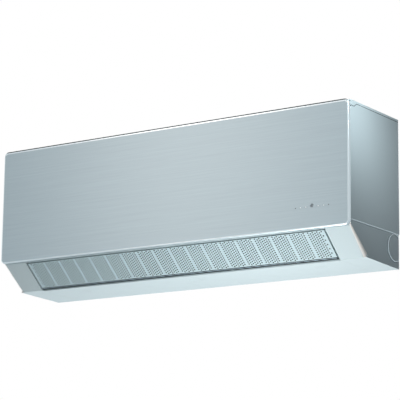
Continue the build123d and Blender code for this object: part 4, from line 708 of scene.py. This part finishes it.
def hole_tile():
    """One cell of the sheet: a face with a round hole and the hole's wall."""
    bm = bmesh.new()
    half_x = HOLE_PITCH_X / 2
    half_a = HOLE_PITCH_ALONG / 2
    tiny = 1e-6
    ring, deep, rim = [], [], []
    for i in range(HOLE_SIDES):
        angle = 2 * math.pi * (i + 0.5) / HOLE_SIDES
        c, s = math.cos(angle), math.sin(angle)
        ring.append(bm.verts.new((HOLE_R * c, HOLE_R * s, 0)))
        deep.append(bm.verts.new((HOLE_R * c, HOLE_R * s, -SHEET_T)))
        reach = min(half_x / max(abs(c), tiny), half_a / max(abs(s), tiny))
        rim.append(bm.verts.new((reach * c, reach * s, 0)))
    corners = {}
    for sx in (-1, 1):
        for sa in (-1, 1):
            corners[(sx, sa)] = bm.verts.new((sx * half_x, sa * half_a, 0))
    for i in range(HOLE_SIDES):
        j = (i + 1) % HOLE_SIDES
        a, b = rim[i].co, rim[j].co
        same_x = all(abs(abs(p.x) - half_x) < 1e-9 for p in (a, b))
        same_a = all(abs(abs(p.y) - half_a) < 1e-9 for p in (a, b))
        edge = [ring[i], rim[i]]
        if not (same_x or same_a):
            middle = (a + b) / 2
            edge.append(corners[(1 if middle.x > 0 else -1, 1 if middle.y > 0 else -1)])
        edge += [rim[j], ring[j]]
        bm.faces.new(edge)
        bm.faces.new([ring[j], deep[j], deep[i], ring[i]])
    return bm


def column_is_plain(column):
    """Every eighth column has no holes, as the moulded bands in the real flap."""
    return column % PLAIN_EVERY == PLAIN_EVERY - 1


def has_hole(column, row):
    """The pattern thins out over the last column at each end."""
    from_end = min(column, HOLE_COLUMNS - 1 - column)
    return from_end > 0 or row % 2 == 0


def hole_pattern(field_half, field_end):
    """The middles of the holes, and the strips between them that have none."""
    points, plain = [], []
    for column in range(HOLE_COLUMNS):
        x = -field_half + HOLE_PITCH_X * (column + 0.5)
        left, right = x - HOLE_PITCH_X / 2, x + HOLE_PITCH_X / 2
        if column_is_plain(column):
            plain.append((left, right, FIELD_START, field_end))
            continue
        shift = HOLE_PITCH_ALONG / 2 if column % 2 else 0.0
        for row in range(HOLE_ROWS):
            low = FIELD_START + shift + HOLE_PITCH_ALONG * row
            if has_hole(column, row):
                points.append((x, low + HOLE_PITCH_ALONG / 2, 0.0))
            else:
                plain.append((left, right, low, low + HOLE_PITCH_ALONG))
        if shift:
            plain.append((left, right, FIELD_START, FIELD_START + shift))
        else:
            plain.append((left, right, field_end - HOLE_PITCH_ALONG / 2, field_end))
    return points, plain


def perforated_sheet():
    """The flap's front sheet: its field of holes, and the plain sheet in and round it."""
    field_half = HOLE_PITCH_X * HOLE_COLUMNS / 2
    field_end = FIELD_START + HOLE_PITCH_ALONG * (HOLE_ROWS + 0.5)
    points, plain = hole_pattern(field_half, field_end)
    turn = CHIN_TURN @ Matrix.Translation((0, 0, -FLAP_RECESS))
    holes = laid_out("flap_perforations", points, hole_tile(), FINISHES["silver_flap"], turn)
    half_w = FLAP_HALF_W - SHADOW_EDGE_IN
    plain += [
        (-half_w, half_w, FLAP_START + SHADOW_EDGE_IN, FIELD_START),
        (-half_w, half_w, field_end, BAND_START),
        (-half_w, -field_half, FIELD_START, field_end),
        (field_half, half_w, FIELD_START, field_end),
    ]
    return [holes, chin_strips("flap_plain_bands", plain, FLAP_RECESS, FINISHES["silver_flap"])]


def flap_gasket():
    """Painted shadow: a dark band round the flap's plate for the gap to the casing, and two dark bands for
    the shadowed grooves each side of its lower lip.
    """
    out_x, in_x = FLAP_HALF_W - SHADOW_EDGE_OUT, FLAP_HALF_W - SHADOW_EDGE_IN
    bottom = FLAP_END - SHADOW_EDGE_OUT
    strips = [
        (-out_x, out_x, FLAP_START + SHADOW_EDGE_OUT, FLAP_START + SHADOW_EDGE_IN),
        (-out_x, -in_x, FLAP_START + SHADOW_EDGE_IN, bottom),
        (in_x, out_x, FLAP_START + SHADOW_EDGE_IN, bottom),
        (-in_x, in_x, BAND_START, LIP_START),
        (-in_x, in_x, LIP_END, bottom),
    ]
    return chin_strips("flap_gasket", strips, TRIM_RECESS, PAINTED_SHADE)


def flap_lip():
    # The lip's dark blue-grey is painted shade, for the rounded lip in shadow under the plate.
    half_w = FLAP_HALF_W - SHADOW_EDGE_IN
    return chin_strips("flap_lower_lip", [(-half_w, half_w, LIP_START, LIP_END)], TRIM_RECESS, SHADED_LIP)


def flap_lining():
    """A dark sheet of painted shade behind the holes, for the shadowed cavity seen through them."""
    half_w = FLAP_HALF_W - SHADE_SHEET_INSET
    strips = [(-half_w, half_w, FLAP_START + SHADE_SHEET_INSET, FLAP_END - SHADE_SHEET_INSET)]
    return chin_strips("flap_lining", strips, SHADE_SHEET_RECESS, PAINTED_SHADE)


def flap_tray():
    """The flap's own solid with its front face set back behind the perforated sheet."""
    mesh = frame["nodes"]["louver"].data.copy()
    mesh.name = "flap_tray"
    bm = bmesh.new()
    bm.from_mesh(mesh)
    bmesh.ops.remove_doubles(bm, verts=bm.verts, dist=1e-6)
    for vertex in bm.verts:
        depth = -(vertex.co - CHIN_TOP).dot(CHIN_OUT)
        if abs(depth - FLAP_RECESS) < TRAY_FACE_REACH:
            vertex.co -= CHIN_OUT * TRAY_SET_BACK
    bm.to_mesh(mesh)
    bm.free()
    return new_object("flap_tray", mesh, FINISHES["silver_flap"])


def build_flap():
    sheet = perforated_sheet()
    tray = flap_tray()
    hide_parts("louver")
    for piece in sheet + [tray, flap_lining(), flap_gasket(), flap_lip()]:
        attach(piece, "flap")


# Seams and the pipe knock-outs on the sides: painted shadow in the lid's seam, and painted highlights on the
# side seam and round the knock-out
def ribbon(side, path, width, proud):
    """A thin strip along a path on a side, from just under its face to a little proud of it."""
    x_low, x_high = sorted((side * (SIDE_X - TRIM_SUNK), side * (SIDE_X + proud)))
    bm = bmesh.new()
    rings = []
    for i, point in enumerate(path):
        before = path[max(i - 1, 0)]
        after = path[min(i + 1, len(path) - 1)]
        run = (Vector(after) - Vector(before)).normalized()
        half = Vector((-run.y, run.x)) * width / 2
        a, b = Vector(point) - half, Vector(point) + half
        corners = ((x_low, a), (x_high, a), (x_high, b), (x_low, b))
        rings.append([bm.verts.new((x, p.x, p.y)) for x, p in corners])
    skin_rings(bm, rings)
    return bm


def knockout_bead(side):
    """A thin half-sunk bead round the knock-out."""
    x = side * (SIDE_X + BEAD_PROUD)
    start, stop = BEAD_ARC
    bm = bmesh.new()
    rings = []
    for i in range(BEAD_STEPS + 1):
        angle = start + (stop - start) * i / BEAD_STEPS
        ring = []
        for k in range(BEAD_SIDES):
            turn = 2 * math.pi * k / BEAD_SIDES
            reach = KNOCKOUT_R + BEAD_R * math.cos(turn)
            y = KNOCKOUT_Y + reach * math.cos(angle)
            z = KNOCKOUT_Z + reach * math.sin(angle)
            ring.append(bm.verts.new((x + BEAD_R * math.sin(turn), y, z)))
        rings.append(ring)
    skin_rings(bm, rings)
    return bm


def build_side_trim():
    for side, word in ((-1, "left"), (1, "right")):
        lid_seam = ribbon(side, LID_SEAM, LID_SEAM_W, LID_SEAM_PROUD)
        side_seam = ribbon(side, SIDE_SEAM, SIDE_SEAM_W, SIDE_SEAM_PROUD)
        pieces = (
            # The lid seam's dark strip is painted shadow in the gap.
            solid_object("lid_seam_" + word, lid_seam, GAP_SHADOW),
            # The side seam's strip and the knock-out bead are bright metal as painted highlights.
            solid_object("side_seam_" + word, side_seam, SEAM_HIGHLIGHT),
            solid_object("knockout_bead_" + word, knockout_bead(side), SEAM_HIGHLIGHT),
        )
        for piece in pieces:
            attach(piece, ROOT)


# Evaporator: thin waved fins in place of each plain slab
def fin_tile(ends):
    """One fin with a shallow wave across its depth, as a closed thin shell."""
    (y0, z0), (y1, z1) = ends
    length = math.hypot(y1 - y0, z1 - z0)
    dy, dz = (y1 - y0) / length, (z1 - z0) / length
    bm = bmesh.new()
    rings = []
    for i in range(FIN_STEPS + 1):
        across = COIL_T * (i / FIN_STEPS - 0.5)
        wave = FIN_WAVE if i % 2 else -FIN_WAVE
        left, right = wave - FIN_T / 2, wave + FIN_T / 2
        ring = []
        for x, along in ((left, 0.0), (left, length), (right, length), (right, 0.0)):
            ring.append(bm.verts.new((x, y0 + dy * along - dz * across, z0 + dz * along + dy * across)))
        rings.append(ring)
    skin_rings(bm, rings)
    bmesh.ops.recalc_face_normals(bm, faces=bm.faces)
    return bm


def build_evaporator():
    count = int(2 * COIL_HALF_L / FIN_PITCH)
    start = -FIN_PITCH * (count - 1) / 2
    points = [(start + FIN_PITCH * i, 0.0, 0.0) for i in range(count)]
    for node, ends in COILS.items():
        fins = laid_out("fins_" + node, points, fin_tile(ends), FINISHES["fin_aluminium"])
        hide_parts(node)
        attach(fins, ROOT)


# Air filters: a moulded frame with open windows and a woven net in them
def plate_with_windows(bm, us, vs, windows, faces, place):
    """A plate on a grid of lines, with some cells left open; place(u, v, w) gives each point."""
    made = {}

    def is_solid(i, j):
        inside = 0 <= i < len(us) - 1 and 0 <= j < len(vs) - 1
        return inside and (i, j) not in windows

    def vertex(i, j, w):
        key = (i, j, w)
        if key not in made:
            made[key] = bm.verts.new(place(us[i], vs[j], faces[w]))
        return made[key]

    for i in range(len(us) - 1):
        for j in range(len(vs) - 1):
            if not is_solid(i, j):
                continue
            for w in (0, 1):
                bm.faces.new([vertex(*c, w) for c in ((i, j), (i + 1, j), (i + 1, j + 1), (i, j + 1))])
            walls = (
                ((i - 1, j), (i, j), (i, j + 1)),
                ((i + 1, j), (i + 1, j), (i + 1, j + 1)),
                ((i, j - 1), (i, j), (i + 1, j)),
                ((i, j + 1), (i, j + 1), (i + 1, j + 1)),
            )
            for beyond, a, b in walls:
                if not is_solid(*beyond):
                    bm.faces.new([vertex(*a, 0), vertex(*b, 0), vertex(*b, 1), vertex(*a, 1)])


def filter_lines(side):
    """The grid lines across a filter: its borders and the ribs between its windows."""
    pitch = (FILTER_FAR_X - FILTER_NEAR_X - 2 * FILTER_BORDER + FILTER_RIB) / FILTER_PARTS
    lines = [FILTER_NEAR_X]
    for i in range(FILTER_PARTS):
        start = FILTER_NEAR_X + FILTER_BORDER + pitch * i
        lines += [start, start + pitch - FILTER_RIB]
    lines.append(FILTER_FAR_X)
    return lines if side > 0 else [-x for x in reversed(lines)]


def filter_frame(side):
    """The leg's and the bed's moulded grids, and the grip that lifts the filter out."""
    xs = filter_lines(side)
    leg = [
        FILTER_BOTTOM_Z,
        FILTER_BOTTOM_Z + FILTER_BORDER,
        FILTER_CROSS_Z,
        FILTER_CROSS_Z + FILTER_RIB,
        FILTER_BED_Z - FILTER_BORDER,
        FILTER_BED_Z + FILTER_T,
    ]
    bed = [
        FILTER_FRONT_Y + FILTER_T,
        FILTER_FRONT_Y + FILTER_BORDER,
        FILTER_CROSS_Y,
        FILTER_CROSS_Y + FILTER_RIB,
        FILTER_BACK_Y - FILTER_BORDER,
        FILTER_BACK_Y,
    ]
    windows = {(i, j) for i in range(1, len(xs) - 1, 2) for j in (1, 3)}
    leg_faces = (FILTER_FRONT_Y, FILTER_FRONT_Y + FILTER_T)
    bed_faces = (FILTER_BED_Z, FILTER_BED_Z + FILTER_T)
    bm = bmesh.new()
    plate_with_windows(bm, xs, leg, windows, leg_faces, lambda u, v, w: (u, w, v))
    plate_with_windows(bm, xs, bed, windows, bed_faces, lambda u, v, w: (u, v, w))
    middle = (xs[0] + xs[-1]) / 2
    grip_y = FILTER_FRONT_Y + FILTER_BORDER
    grip_low = (middle - GRIP_HALF_W, grip_y - FILTER_RIB, GRIP_LOW_Z)
    grip_high = (middle + GRIP_HALF_W, grip_y, GRIP_HIGH_Z)
    add_box(bm, grip_low, grip_high)
    return bm


def net_steps(low, high):
    """Places of the net's wires between two limits, even about their middle."""
    count = int((high - low) / NET_PITCH)
    first = (low + high) / 2 - NET_PITCH * (count - 1) / 2
    return [first + NET_PITCH * i for i in range(count)]


def filter_net(side, word):
    """Warp and weft wires over the filter's leg and bed."""
    xs = filter_lines(side)
    middle_x = (xs[0] + xs[-1]) / 2
    width = xs[-1] - xs[0] - FILTER_BORDER
    columns = net_steps(xs[0] + NET_SIDE_INSET, xs[-1] - NET_SIDE_INSET)
    leg_middle, leg_run = sum(NET_LEG) / 2, NET_LEG[1] - NET_LEG[0]
    bed_middle, bed_run = sum(NET_BED) / 2, NET_BED[1] - NET_BED[0]
    across = (width, NET_WIRE, NET_WIRE)
    wires = {
        "upright": ([(x, NET_LEG_Y, leg_middle) for x in columns], (NET_WIRE, NET_WIRE, leg_run)),
        "level": ([(middle_x, NET_LEG_Y, z) for z in net_steps(*NET_LEG)], across),
        "deep": ([(x, bed_middle, NET_BED_Z) for x in columns], (NET_WIRE, bed_run, NET_WIRE)),
        "wide": ([(middle_x, y, NET_BED_Z) for y in net_steps(*NET_BED)], across),
    }
    pieces = []
    for way, (points, size) in wires.items():
        pieces.append(laid_out(f"net_{way}_{word}", points, box_tile(size), FINISHES["filter_mesh"]))
    return pieces


def build_filters():
    for side, word in ((-1, "left"), (1, "right")):
        holder = solid_object("filter_frame_" + word, filter_frame(side), FILTER_FRAME)
        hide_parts("filter_" + word)
        for piece in [holder] + filter_net(side, word):
            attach(piece, "filter_" + word)


# Camera, at the photograph's viewing angle
def place_camera():
    yaw, pitch, roll = CAMERA_YAW, CAMERA_PITCH, CAMERA_ROLL
    forward = Vector((-math.sin(yaw) * math.cos(pitch), math.cos(yaw) * math.cos(pitch), math.sin(pitch)))
    right = Vector((math.cos(yaw), math.sin(yaw), 0.0))
    up = right.cross(forward)
    turned_right = math.cos(roll) * right + math.sin(roll) * up
    turned_up = -math.sin(roll) * right + math.cos(roll) * up
    data = bpy.data.cameras.new("view")
    data.lens = LENS_MM
    data.sensor_width = SENSOR_MM
    data.clip_end = CAMERA_REACH
    camera = new_object("view", data)
    rows = zip(turned_right, turned_up, -forward, CAMERA_PLACE)
    camera.matrix_world = Matrix((*rows, (0, 0, 0, 1)))
    bpy.context.scene.camera = camera


# Studio: soft lamps, white surroundings and a pale floor
def add_lamp(name, place, aim, width, height, power, colour, spread=180.0):
    """A rectangular lamp at a place, turned to its aim, with its spread in degrees."""
    data = bpy.data.lights.new(name, "AREA")
    data.shape = "RECTANGLE"
    data.size = width
    data.size_y = height
    data.energy = power
    data.color = colour
    data.spread = math.radians(spread)
    lamp = new_object(name, data)
    direction = Vector(aim) - Vector(place)
    lamp.matrix_world = Matrix.Translation(place) @ direction.to_track_quat("-Z", "Y").to_matrix().to_4x4()


def build_lamps():
    add_lamp(
        "key", place=(-0.77, -1.45, 0.50), aim=(0.05, -0.2, 0.02), width=0.40, height=1.2, power=4.7,
        colour=(1.0, 0.80, 0.70),
    )
    add_lamp(
        "upper_key", place=(-0.36, -1.25, 1.05), aim=(0.32, -0.2, 0.12), width=0.25, height=0.25, power=0.7,
        colour=(1.0, 0.92, 0.88),
    )
    add_lamp(
        "below", place=(-0.22, 0.35, -1.30), aim=(-0.02, -0.08, -0.1), width=0.8, height=0.8, power=11.9,
        colour=(0.95, 0.98, 0.96),
    )
    add_lamp(
        "low_right", place=(0.25, -0.52, -0.55), aim=(0.33, -0.17, -0.12), width=0.30, height=0.3, power=2.7,
        colour=(1.0, 1.0, 0.97),
    )
    add_lamp(
        "side", place=(0.72, -0.36, 0.34), aim=(SIDE_X, -0.17, 0.12), width=0.14, height=0.14, power=0.215,
        colour=(0.93, 0.99, 1.0), spread=51.0,
    )


def build_world():
    """White to the camera and in reflections, with a soft fill that fades from left to right."""
    world = bpy.data.worlds.new("studio")
    bpy.context.scene.world = world
    world.use_nodes = True
    tree = world.node_tree
    tree.nodes.clear()
    out = tree.nodes.new("ShaderNodeOutputWorld")
    seen = tree.nodes.new("ShaderNodeBackground")
    seen.inputs["Color"].default_value = WHITE
    seen.inputs["Strength"].default_value = 1.0
    fill = tree.nodes.new("ShaderNodeBackground")
    fill.inputs["Color"].default_value = FILL_BLUE
    place = tree.nodes.new("ShaderNodeTexCoord")
    axes = tree.nodes.new("ShaderNodeSeparateXYZ")
    fade = tree.nodes.new("ShaderNodeMapRange")
    fade.inputs["From Min"].default_value = FILL_FADE[0]
    fade.inputs["From Max"].default_value = FILL_FADE[1]
    fade.inputs["To Min"].default_value = FILL_LEFT
    fade.inputs["To Max"].default_value = FILL_RIGHT
    mix = tree.nodes.new("ShaderNodeMixShader")
    tree.links.new(place.outputs["Generated"], axes.inputs["Vector"])
    tree.links.new(axes.outputs["X"], fade.inputs["Value"])
    tree.links.new(fade.outputs["Result"], fill.inputs["Strength"])
    tree.links.new(direct_rays(tree), mix.inputs["Fac"])
    tree.links.new(fill.outputs["Background"], mix.inputs[1])
    tree.links.new(seen.outputs["Background"], mix.inputs[2])
    tree.links.new(mix.outputs["Shader"], out.inputs["Surface"])


def floor_finish():
    """Pale, with a glow that shows to the camera and in reflections, and clear from underneath."""
    material = bpy.data.materials.new("pale_floor")
    material.use_nodes = True
    tree = material.node_tree
    shader = tree.nodes["Principled BSDF"]
    shader.inputs["Base Color"].default_value = FLOOR_WHITE
    shader.inputs["Roughness"].default_value = 0.8
    shader.inputs["Emission Color"].default_value = FLOOR_LIGHT
    tree.links.new(times(tree, direct_rays(tree), FLOOR_GLOW), shader.inputs["Emission Strength"])
    clear = tree.nodes.new("ShaderNodeBsdfTransparent")
    geometry = tree.nodes.new("ShaderNodeNewGeometry")
    mix = tree.nodes.new("ShaderNodeMixShader")
    tree.links.new(geometry.outputs["Backfacing"], mix.inputs["Fac"])
    tree.links.new(shader.outputs["BSDF"], mix.inputs[1])
    tree.links.new(clear.outputs["BSDF"], mix.inputs[2])
    tree.links.new(mix.outputs["Shader"], tree.nodes["Material Output"].inputs["Surface"])
    return material


def build_floor():
    """A wide floor far below that takes the object's shadow."""
    bm = bmesh.new()
    for x, y in ((-1, -1), (1, -1), (1, 1), (-1, 1)):
        bm.verts.new((x * FLOOR_HALF, y * FLOOR_HALF, FLOOR_Z))
    bm.faces.new(bm.verts)
    floor = new_object("floor", mesh_from("floor", bm), floor_finish())


dress_solids()
build_flap()
build_side_trim()
build_evaporator()
build_filters()
place_camera()
build_world()
build_floor()
build_lamps()
bpy.context.scene.view_settings.view_transform = "Standard"
